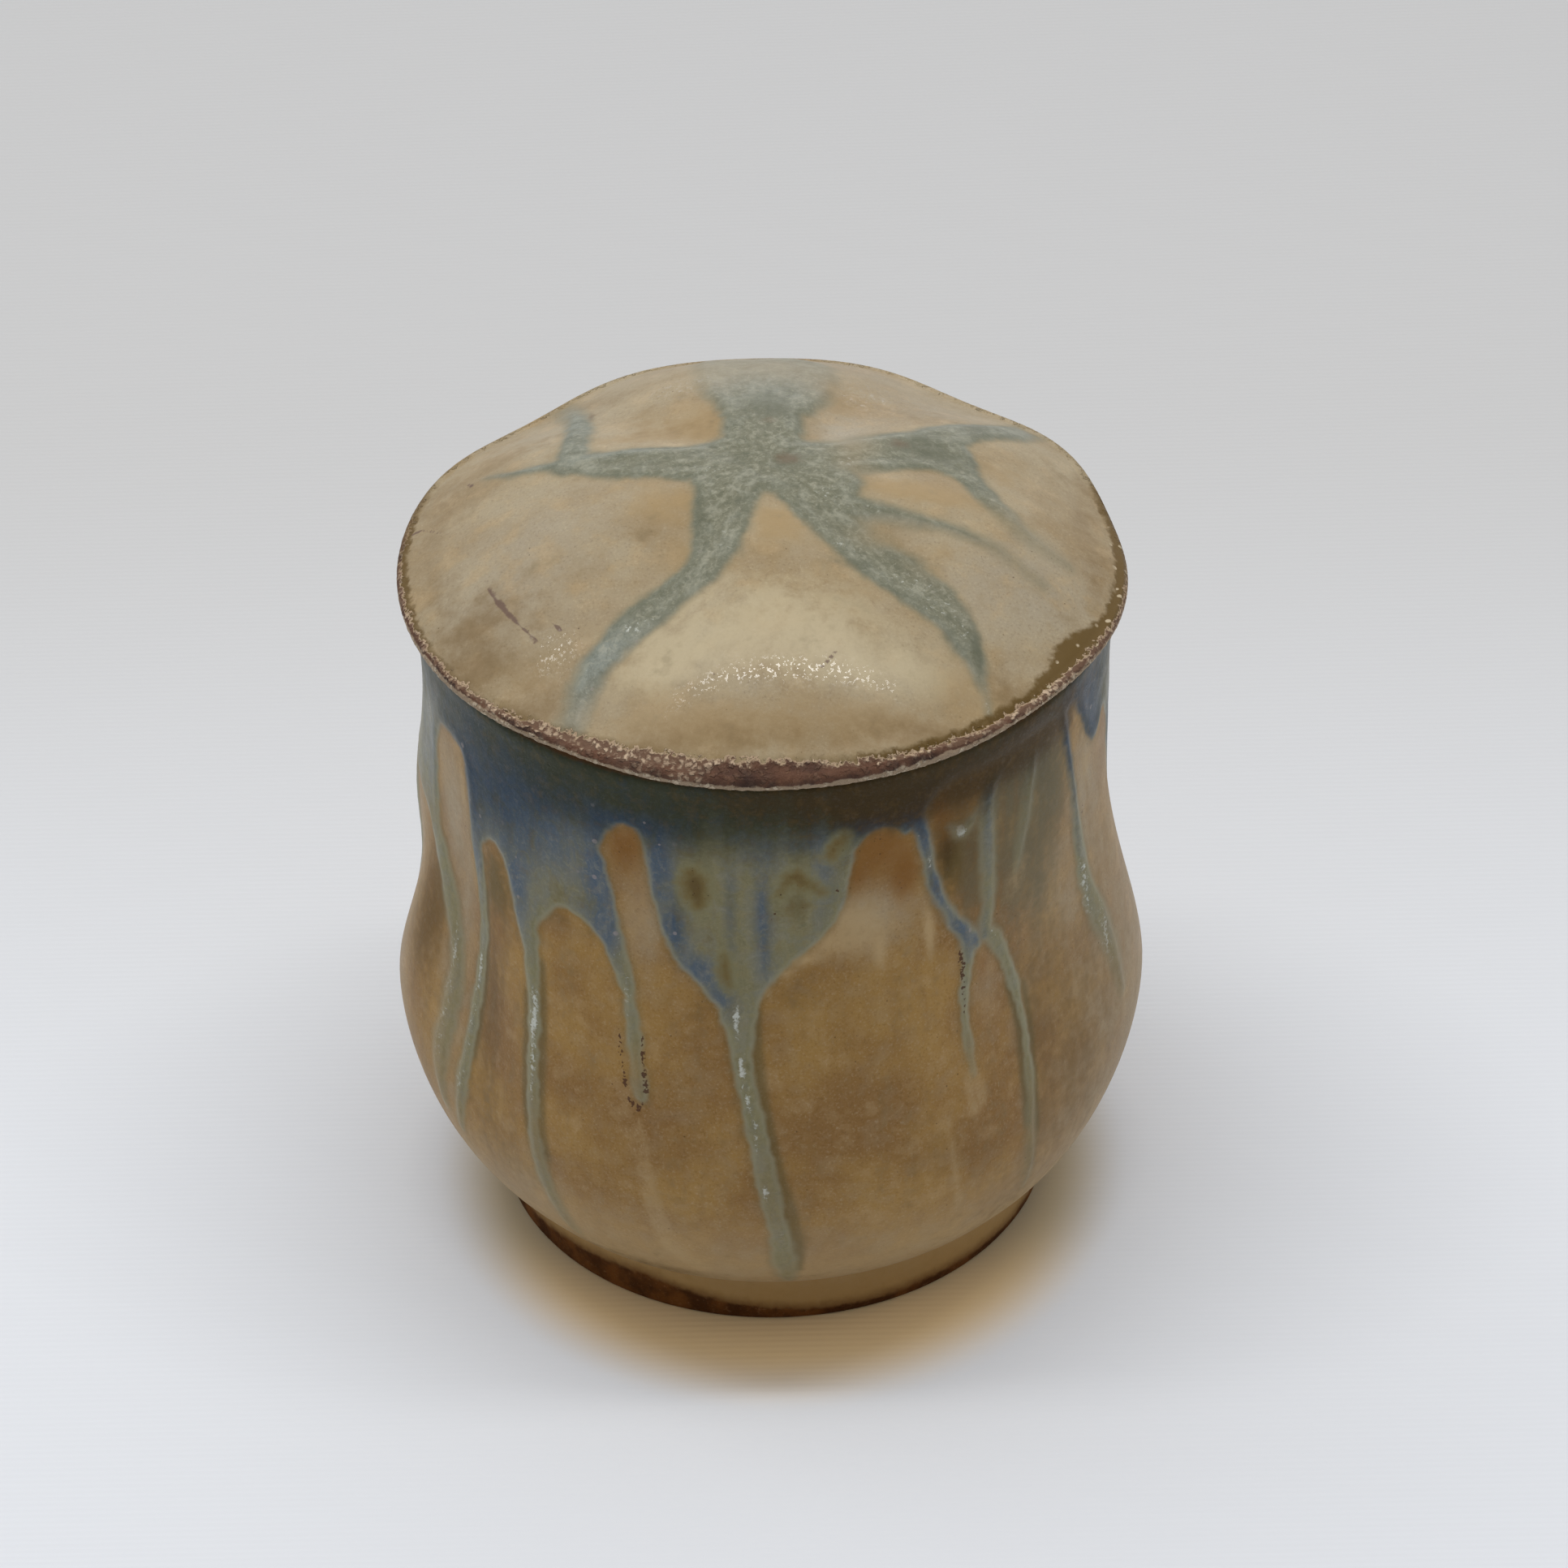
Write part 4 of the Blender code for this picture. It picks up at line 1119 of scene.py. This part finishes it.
# Golden places in the satin glaze, a pink bloom, a painted sheen of the lamp on the front of the
# dome, and where it darkens towards the rim: brown glaze and painted shade
LID_GOLD = [
    (-8.4, 15.4, 4.6, 5, 1), (-15, 17, 7, 5, 0.6), (-13, -6, 5, 5, 0.8), (-10, -16, 3, 4, 0.5),
    (1.8, -11.6, 4, 4.4, 1), (20, -2.4, 7, 2.6, 1), (27, -3, 4, 3, 0.5), (-6, -44, 20, 3.4, 0.9),
    (16, -43, 12, 3.6, 0.7), (-16, -38, 6, 5, 0.5), (-33, -33, 6, 5, 0.5), (26.6, -36, 4, 5, 0.7),
    (25, -14, 5, 2, 0.4), (34, 8, 4, 8, 0.4), (-38, 22, 8, 8, 0.5), (-20, 14, 8, 2, 0.5),
    (12, 22, 4, 5, 0.4), (32, -38, 4, 3, 0.4),
]
LID_BLUSH = [
    (11.4, 13, 3.4, 5, 1), (16, 17, 6, 4, 0.5), (-30, -8, 12, 10, 0.6), (-32, 24, 10, 14, 0.3),
    (26, 28, 8, 8, 0.5), (38, -16, 9, 8, 0.7), (30, -20, 5, 8, 0.4), (10, 40, 12, 6, 0.5),
    (-36, -16, 8, 8, 0.5), (-8, -30, 6, 6, 0.2),
]
LID_PAINTED_SHEEN = [
    (0, -30, 17, 8, 0.9), (14, -35, 10, 4, 0.9), (-14, -34, 8, 4, 0.9), (-16, -28, 8, 6, 0.3),
]
# Brown glaze, and painted shade darkening the dome towards the rim, most at the left
LID_BROWN_AND_SHADE = [
    (-40, -24, 5, 8, 0.8), (-45, -12, 3.4, 8, 0.4), (-33, -36, 6, 4, 0.7), (-18, -45, 8, 2.4, 0.5),
    (2, -45, 22, 3, 0.5), (22, -43, 8, 2.4, 0.6), (-8, 15, 5, 5, 0.2), (-15, 17, 8, 5, 0.3),
    (-34, 20, 9, 10, 0.3), (-20, 34, 10, 6, 0.3), (20, 22, 10, 8, 0.25), (-36, -22, 7, 7, 0.3),
    (33, -34, 4, 4, 0.6), (46, 8, 3, 14, 0.6), (46, -8, 3, 8, 0.5), (-46, 10, 4, 10, 0.5),
    (-30, -22, 4, 3, 0.35), (-16, -12, 4, 4, 0.3), (42, -24, 3, 4, 0.6),
]
# Going round the rim: the top of the crust and its width, how brown the clay below it is, the width
# of the olive glaze pooled above it, and the top of the pale edge. Azimuth, mm, mm, share, mm, mm.
RIM = [
    (-180, 1.9, 0, 0, 0, 0), (-115, 1.9, 0, 0.1, 0.3, 0), (-90, 1.7, 0.2, 0.5, 1, 0.2),
    (-72, 1.8, 0.6, 0.8, 0.7, 0.5), (-60, 2, 0.9, 0.9, 0.5, 0.7), (-52, 2.2, 1.1, 0.9, 0.4, 0.7),
    (-47, 2.6, 1.3, 0.8, 0.3, 0.8), (-42, 3.1, 1.5, 0.8, 0.3, 0.8), (-35, 3.8, 1.8, 0.8, 0.4, 0.7),
    (-26, 4.2, 2, 0.8, 0.4, 0.5), (-20, 4.5, 2, 0.6, 0.2, 0.3), (-14, 4.5, 1.7, 0.6, 0.2, 0.1),
    (-6, 4.4, 0.8, 0.8, 0.2, 0), (0, 4.3, 0.6, 1, 0.3, 0), (6, 4, 0.6, 1, 0.4, 0),
    (12, 3.3, 0.7, 1, 0.5, 0.1), (18, 2.9, 0.8, 1, 0.7, 0.3), (24, 2.6, 1.1, 0.9, 0.8, 0.5),
    (32, 2.5, 1.3, 0.7, 0.9, 0.6), (46, 2.5, 1.5, 0.6, 1.1, 0.6), (53, 2.4, 1.5, 0.6, 2, 0.6),
    (59, 2.2, 1.3, 0.6, 3.6, 0.5), (65, 1.8, 0.8, 0.5, 3, 0.4), (71, 1.3, 0.3, 0.4, 1.8, 0.3),
    (90, 1.1, 0.1, 0.4, 1.8, 0.1), (112, 1.7, 0, 0.1, 0.3, 0), (180, 1.9, 0, 0, 0, 0),
]
# Where seeds of crystal catch the light
LID_SPARKLE = [
    (3, -37.6, 13, 3.4, 1), (-29.6, -26.8, 3, 3, 0.9), (-11, 27, 5, 4, 1), (17, 28.5, 6, 5, 1),
    (-2, -24, 20, 20, 0.15),
]
# Scratches and kiln marks
LID_MARKS = [
    [(-38.4, -12, 0.05), (-37, -16.4, 0.3), (-35.2, -20, 0.35), (-33, -23.6, 0.15),
     (-31.4, -26.2, 0.3)],
    [(-30, -22.6, 0.1), (-28, -25.6, 0.2)],
    [(-49.4, 7.2, 0.2), (-47.4, 6.6, 0.26), (-45, 3.4, 0.1)],
    [(7, -37, 0.1), (8.2, -35.8, 0.2), (9.6, -34, 0.1)],
    [(-41.4, 13.8, 0.2), (-40.8, 12.6, 0.3)],
    [(-7, -37, 0.22), (-6.9, -37.1, 0.22)],
]

lid_rows, rim_from, rim_under, ceiling_from = lid_outline()
skin = turned_skin(lid_rows, LID_SIDES, LID_CROWDING)
turn = np.radians(skin.azimuth)
x = skin.radius * np.sin(turn) / MM
y = -skin.radius * np.cos(turn) / MM
top = skin.ring < rim_under

# Distance along the outline from the outermost point of the rim, in mm: above 0 on top
steps = np.linalg.norm(np.diff(lid_rows, axis=0), axis=1) / MM
way = -np.concatenate([[0.0], np.cumsum(steps)])
rim_out = rim_from + int(np.argmax(lid_rows[rim_from:rim_under, 0]))
rim_way = (way - way[rim_out])[skin.ring]

run = np.full(len(x), -MOST_DEPTH)
depth = run[top]
for line in LID_ARMS:
    depth = melted(depth, stroke_depth(x[top], y[top], flowing(line)), LID_MELT)
# The arms stop short of the crust
depth = np.minimum(depth, (rim_way[top] - ARMS_END) * 0.8)
run[top] = np.clip(depth, -MOST_DEPTH, MOST_DEPTH)
marks = lines_depth(x, y, top, [flowing(line) for line in LID_MARKS])

# Press the dome down between the lobes, and draw the rim in where the grooves run out over it
fraction = skin.radius / lid_radius
on_dome = skin.height > lid_seat + dome_height(np.minimum(fraction, 1.0)) - LID_WALL * 0.5
along = fade(fraction, 0.0, LID_GROOVE_START)
along *= fade(fraction, LID_GROOVE_END, LID_GROOVE_END - LID_GROOVE_FADE)
half_width = LID_GROOVE_HALF_WIDTH + LID_GROOVE_SPREAD * (1.0 - np.minimum(fraction, 1.0))
drop = np.zeros(len(x))
draw_in = np.zeros(len(x))
for groove in LID_GROOVES:
    apart = short_way(skin.azimuth - groove.azimuth)
    drop += groove.depth * along * hollow(apart, half_width)
    draw_in += groove.draw_in * hollow(apart, LID_GROOVE_HALF_WIDTH)
moves = (skin.radius > flange_radius) | on_dome
drop = np.where(moves & (skin.height > lid_seat + EDGE_THICKNESS * 0.5), drop, 0.0)
outward = (skin.radius - flange_radius) / (lid_radius - flange_radius)
outward = np.where(on_dome, fraction, outward)
draw_in = np.where(moves, draw_in * outward, 0.0)

# The crust: beads and pits along the rim, cut into the solid's surface and never above it
rim_azimuths, *columns = zip(*RIM)
rim = {
    name: np.interp(skin.azimuth, rim_azimuths, column)
    for name, column in zip(["rim_top", "rim_width", "rim_brown", "rim_olive", "rim_pale"], columns)
}
crust = np.zeros(len(x))
for k in np.flatnonzero(top & (rim_way < CRUST_REACH)):
    at = Vector((x[k], y[k], skin.height[k] / MM))
    pits = max(0.0, 0.5 - 0.5 * noise.noise(at * 1.5) - 0.3 * noise.noise(at * 3.4))
    beneath = float(fade(rim_way[k] - rim["rim_top"][k], 0.3, -0.2))
    share = min(1.0, 0.2 + rim["rim_width"][k])
    crust[k] = -CRUST_DEPTH * share * beneath * (0.25 + 0.75 * pits)
taper = fade(rim_way, ARMS_END, 2.0 * ARMS_END)
missing = 1.0 - raised(run, start=-0.4, full=1.6, bead=1.6, bead_width=1.2)
lift = np.where(top, -missing * GLAZE_THICKNESS * taper, 0.0) + crust

dome = skin.height - drop
wall = skin.radius - draw_in
lid = close_skin("lid_cover", skin, wall + lift * skin.out_r, dome + lift * skin.out_z)
seat = (skin.ring >= rim_under) & (skin.ring < ceiling_from)
kept = {
    "run_depth": run,
    "marks": marks,
    "rim_way": np.where(top, rim_way, -2.0),
    "bare_clay": np.where(seat, 1.0, -1.0),
    "soft": 0.8 + 2.4 * spots(x, y, LID_SOFT),
    "dark": np.where(top, spots(x, y, LID_DARK), 0.0),
    "eyes": np.where(top, spots(x, y, LID_EYES), 0.0),
    "blue": spots(x, y, LID_BLUE),
    "thin": spots(x, y, LID_THIN),
    "crystals": spots(x, y, LID_CRYSTALS),
    "gold": spots(x, y, LID_GOLD),
    "blush": spots(x, y, LID_BLUSH),
    "pale": spots(x, y, LID_PAINTED_SHEEN),
    "brown": spots(x, y, LID_BROWN_AND_SHADE),
    "sparkle": spots(x, y, LID_SPARKLE),
    **rim,
}
for name, values in kept.items():
    keep_field(lid, name, values)

# The lid's glaze: the satin glaze, what stains it and the sheen and shade painted on it, the poured
# glaze, what shows on that, the rim
lid_glaze, tree, shader = new_material("lid_glaze", Specular_IOR_Level=0.24, Coat_Roughness=0.1)
where = in_mm(tree)
# The poured glaze flowed out from the hub, so its streaks follow the direction from there
HUB = (0.0, 4.0, 118.0)
from_hub = vector(tree, "SUBTRACT", where, HUB)
distance = vector(tree, "LENGTH", from_hub)
spread = reckon(tree, "DIVIDE", 26.0, plus(tree, distance, 6.0))
rays = vector(tree, "SCALE", from_hub, scale=spread)
flow = vector(tree, "MULTIPLY_ADD", where, (0.36, 0.36, 0.36), rays)
ground = use(
    tree,
    satin,
    Where=where,
    Flow=flow,
    Plain=tone(162, 147, 118),
    Deep=tone(146, 126, 92),
    Blush_tone=tone(158, 147, 126),
    Blush=field(tree, "blush"),
)
colour = ground["Color"]
ripple = unevenness(tree, where, 1.8, 0.14)
patch = unevenness(tree, where, 6.0, 0.25, roughness=0.6)
uneven = plus(tree, ripple, patch)
colour = over(tree, shown(tree, "gold", uneven, 0.0, 1.0, 0.8), colour, tone(158, 134, 94))
# Painted sheen: the front of the dome paler where the lamp overhead lights it
colour = over(tree, shown(tree, "pale", uneven, 0.1, 1.0, 0.75), colour, tone(188, 174, 142))
# Brown glaze and painted shade towards the rim
colour = over(tree, shown(tree, "brown", uneven, 0.05, 1.0, 0.75), colour, tone(116, 92, 54))
poured = use(
    tree,
    running,
    Where=where,
    Flow=flow,
    Depth=field(tree, "run_depth"),
    Blue=field(tree, "blue"),
    Crystals=field(tree, "crystals"),
    Thin=field(tree, "thin"),
    Grey=tone(116, 115, 95),
    Slate=tone(126, 131, 121),
    Pale=tone(160, 158, 139),
    Dark=tone(86, 89, 72),
    Edge_tone=tone(100, 104, 88),
    Edge_reach=1.7,
    Edge_share=0.4,
    Curdle=0.5,
    Wander=0.4,
    Softness=field(tree, "soft"),
)
halo = times(tree, poured["Halo"], 0.25)
colour = over(tree, halo, colour, tone(134, 122, 90))
colour = over(tree, poured["Cover"], colour, poured["Color"])
colour = over(tree, shown(tree, "dark", uneven, 0.1, 0.9, 0.65), colour, tone(88, 90, 71))
colour = over(tree, shown(tree, "eyes", ripple, 0.15, 0.9, 0.6), colour, tone(106, 84, 60))
ragged = times(tree, ripple, 0.9)
colour = over(tree, shown(tree, "marks", ragged, -0.12, 0.1, 0.75), colour, tone(92, 66, 58))

# From the dome down over the rim: pooled olive glaze, cream crust, iron-brown clay, pale edge
wander = unevenness(tree, where, 1.8, 0.5, roughness=0.6)
way = plus(tree, field(tree, "rim_way"), wander)
from_top = minus(tree, way, field(tree, "rim_top"))
olive = field(tree, "rim_olive")
pooled = ramp(tree, minus(tree, from_top, olive), 0.5, -0.5)
pooled = times(tree, pooled, ramp(tree, olive, 0.1, 0.8, 0.0, 0.95))
colour = over(tree, pooled, colour, tone(92, 69, 20))
# The crust's cream curls lie between cells, shaken out of shape
beads = cloud(tree, where, 0.7, 2.0, 0.6)
shaken = place(tree, "ShaderNodeTexNoise", {"Vector": where, "Scale": 1.2, "Detail": 2.0})
shaken = vector(tree, "MULTIPLY_ADD", shaken.outputs["Color"], (1.2, 1.2, 1.2), where)
cells = place(tree, "ShaderNodeTexVoronoi", {"Vector": shaken, "Scale": 1.15}).outputs["Distance"]
clumps = ramp(tree, cloud(tree, where, 2.6, 2.0, 0.5), 0.36, 0.6, 0.35, 1.0)
curls = times(tree, ramp(tree, cells, 0.6, 0.25), clumps)
crusty = over(tree, curls, tone(106, 80, 62), tone(190, 167, 141))
crust_from = plus(tree, from_top, ramp(tree, beads, 0.3, 0.7, -0.35, 0.35))
# A cream line along the crust's crest: cream beads, with a painted highlight along its top
off_lit_crest = reckon(tree, "ABSOLUTE", plus(tree, crust_from, 0.12))
crusty = over(tree, ramp(tree, off_lit_crest, 0.4, 0.1, 0.0, 0.6), crusty, tone(198, 174, 142))
width = field(tree, "rim_width")
crusted = times(tree, ramp(tree, crust_from, 0.1, -0.12), ramp(tree, width, 0.0, 0.3))
colour = over(tree, crusted, colour, crusty)
dots = use(tree, specks, Where=where, Spacing=1.5, Share=0.5, Size=0.4)["Mask"]
dotted = times(tree, ramp(tree, olive, 0.9, 2.2), ramp(tree, from_top, 2.6, 1.2))
dots = times(tree, dots, dotted)
colour = over(tree, times(tree, dots, 0.85), colour, tone(206, 190, 160))
iron_clay = use(tree, bare, Where=where, Toast=tone(94, 63, 46), Char=tone(52, 33, 26))
brown_from = plus(tree, crust_from, width)
brown_share = shown(tree, "rim_brown", patch, 0.2, 0.9, 0.95)
brown_share = times(tree, ramp(tree, brown_from, 0.2, -0.3), brown_share)
colour = over(tree, brown_share, colour, iron_clay["Color"])
edge_way = plus(tree, field(tree, "rim_way"), times(tree, wander, 0.6))
edge_way = minus(tree, edge_way, field(tree, "rim_pale"))
pale_edge = over(tree, ramp(tree, curls, 0.2, 0.8), tone(158, 138, 114), tone(192, 176, 152))
colour = over(tree, ramp(tree, edge_way, 0.15, -0.2, 0.0, 0.9), colour, pale_edge)
clay = use(tree, bare, Where=where, Toast=tone(150, 112, 78), Char=tone(110, 76, 50))
laid_bare = ramp(tree, field(tree, "bare_clay"), -0.2, 0.2)
colour = over(tree, laid_bare, colour, clay["Color"])
feed(tree, shader["Base Color"], colour)
sparkle = times(tree, ground["Sparkle"], field(tree, "sparkle"))
feed(tree, shader["Coat Weight"], sparkle)
rough_rim = ramp(tree, crust_from, 0.2, -0.2)
rough = times(tree, poured["Cover"], 0.05)
rough = minus(tree, ground["Roughness"], rough)
rough = plus(tree, rough, times(tree, rough_rim, 0.3))
rough = plus(tree, rough, times(tree, laid_bare, 0.2))
feed(tree, shader["Roughness"], rough)
surface = plus(tree, ground["Height"], poured["Height"])
rim_relief = times(tree, plus(tree, iron_clay["Height"], beads), 0.25)
rim_relief = plus(tree, rim_relief, times(tree, curls, 0.2))
surface = plus(tree, surface, times(tree, rim_relief, rough_rim))
feed(tree, shader["Normal"], relieved(tree, surface))
lid.data.materials.append(lid_glaze)

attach(lid, "lid")
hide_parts("lid")

# The table: a sheet of pale ribbed paper, far wider than the camera sees
HALF_PAPER = 3.0
RIB_HEIGHT = 0.00002
paper_mesh = bpy.data.meshes.new("paper")
corners = [(-1, -1), (1, -1), (1, 1), (-1, 1)]
points = [(x * HALF_PAPER, y * HALF_PAPER, 0.0) for x, y in corners]
paper_mesh.from_pydata(points, [], [(0, 1, 2, 3)])
paper = add_object("paper", paper_mesh)
paper_white, tree, shader = new_material("paper_white", Roughness=0.8, Specular_IOR_Level=0.2)
where = in_mm(tree)
along = place(tree, "ShaderNodeSeparateXYZ", {"Vector": where}).outputs["Y"]
# Painted light: the paper darkens away from the jar towards the back, where the lamp's light falls
# off
colour = over(tree, ramp(tree, along, -40.0, 200.0), tone(226, 229, 234), tone(199, 199, 199))
# Painted shade and bounce light: a warm tint on the paper round the foot, where the belly keeps the
# lamp off it and the glaze throws its colour, most in front
squeezed = {"Vector": where, "Location": (-1.0, 4.0, 0.0), "Scale": (1.08, 1.0, 1.0)}
near_foot = place(tree, "ShaderNodeMapping", squeezed).outputs[0]
painted_warm_shade = over(tree, ramp(tree, along, -15.0, -40.0), tone(196, 182, 152), tone(240, 212, 164))
colour = over(tree, ramp(tree, vector(tree, "LENGTH", near_foot), 56.0, 43.0), colour, painted_warm_shade)
feed(tree, shader["Base Color"], colour)
ribs = place(tree, "ShaderNodeTexWave", {"Vector": where, "Scale": 0.27}, bands_direction="Y")
feed(tree, shader["Normal"], relieved(tree, ribs.outputs["Fac"], RIB_HEIGHT))
paper_mesh.materials.append(paper_white)

# The light: a pale room, darker on the camera's side, a long narrow lamp overhead that throws the
# belly's shadow round the foot, a weaker window high at the left behind the jar, and a low lamp far
# behind it that glints on the back of the dome
ROOM = (0.75, 0.755, 0.77, 1.0)
ROOM_IN_FRONT = (0.32, 0.32, 0.32, 1.0)
room = bpy.data.worlds.new("room")
bpy.context.scene.world = room
room.use_nodes = True
tree = room.node_tree
direction = place(tree, "ShaderNodeTexCoord").outputs["Generated"]
forward = place(tree, "ShaderNodeSeparateXYZ", {"Vector": direction}).outputs["Y"]
walls = over(tree, ramp(tree, forward, -0.1, -0.8), ROOM, ROOM_IN_FRONT)
background = tree.nodes["Background"].inputs
feed(tree, background["Color"], walls)
feed(tree, background["Strength"], 1.0)

Lamp = namedtuple("Lamp", "name place width depth power colour")
LAMPS = [
    Lamp("ceiling_lamp", (0.0, 0.01, 1.05), 1.10, 0.10, 4.5, (1.0, 0.985, 0.96)),
    Lamp("window", (-0.75, 0.42, 1.00), 0.50, 0.50, 1.2, (0.95, 0.98, 1.0)),
    Lamp("back_lamp", (0.10, 1.50, 0.45), 0.70, 0.12, 0.7, (1.0, 1.0, 1.0)),
]
for row in LAMPS:
    lamp_data = bpy.data.lights.new(row.name, "AREA")
    lamp_data.shape = "RECTANGLE"
    lamp_data.size, lamp_data.size_y = row.width, row.depth
    lamp_data.energy = row.power
    lamp_data.color = row.colour
    lamp = add_object(row.name, lamp_data)
    lamp.location = row.place
    lamp.rotation_euler = Vector(row.place).to_track_quat("Z", "Y").to_euler()
bpy.context.scene.view_settings.view_transform = "Standard"

# The camera: held above the jar and well back, turned so that the jar sits low in the frame
AIM = Vector((0.0, 0.0, 0.055))
CAMERA_LENS = 149.07
CAMERA_DISTANCE = 0.931
CAMERA_ELEVATION = math.radians(38.0)
CAMERA_ROLL = math.radians(-1.10)
CAMERA_TILT_UP = math.radians(0.552)
CAMERA_TURN_LEFT = math.radians(-0.130)
camera_data = bpy.data.cameras.new("camera")
camera_data.lens = CAMERA_LENS
camera_data.sensor_width = 36.0
camera = add_object("camera", camera_data)
back = Vector((0.0, -math.cos(CAMERA_ELEVATION), math.sin(CAMERA_ELEVATION)))
look = Matrix.Rotation(math.pi / 2.0 - CAMERA_ELEVATION, 4, "X")
look = look @ Matrix.Rotation(CAMERA_ROLL, 4, "Z") @ Matrix.Rotation(CAMERA_TILT_UP, 4, "X")
look = look @ Matrix.Rotation(CAMERA_TURN_LEFT, 4, "Y")
camera.matrix_world = Matrix.Translation(AIM + back * CAMERA_DISTANCE) @ look
bpy.context.scene.camera = camera
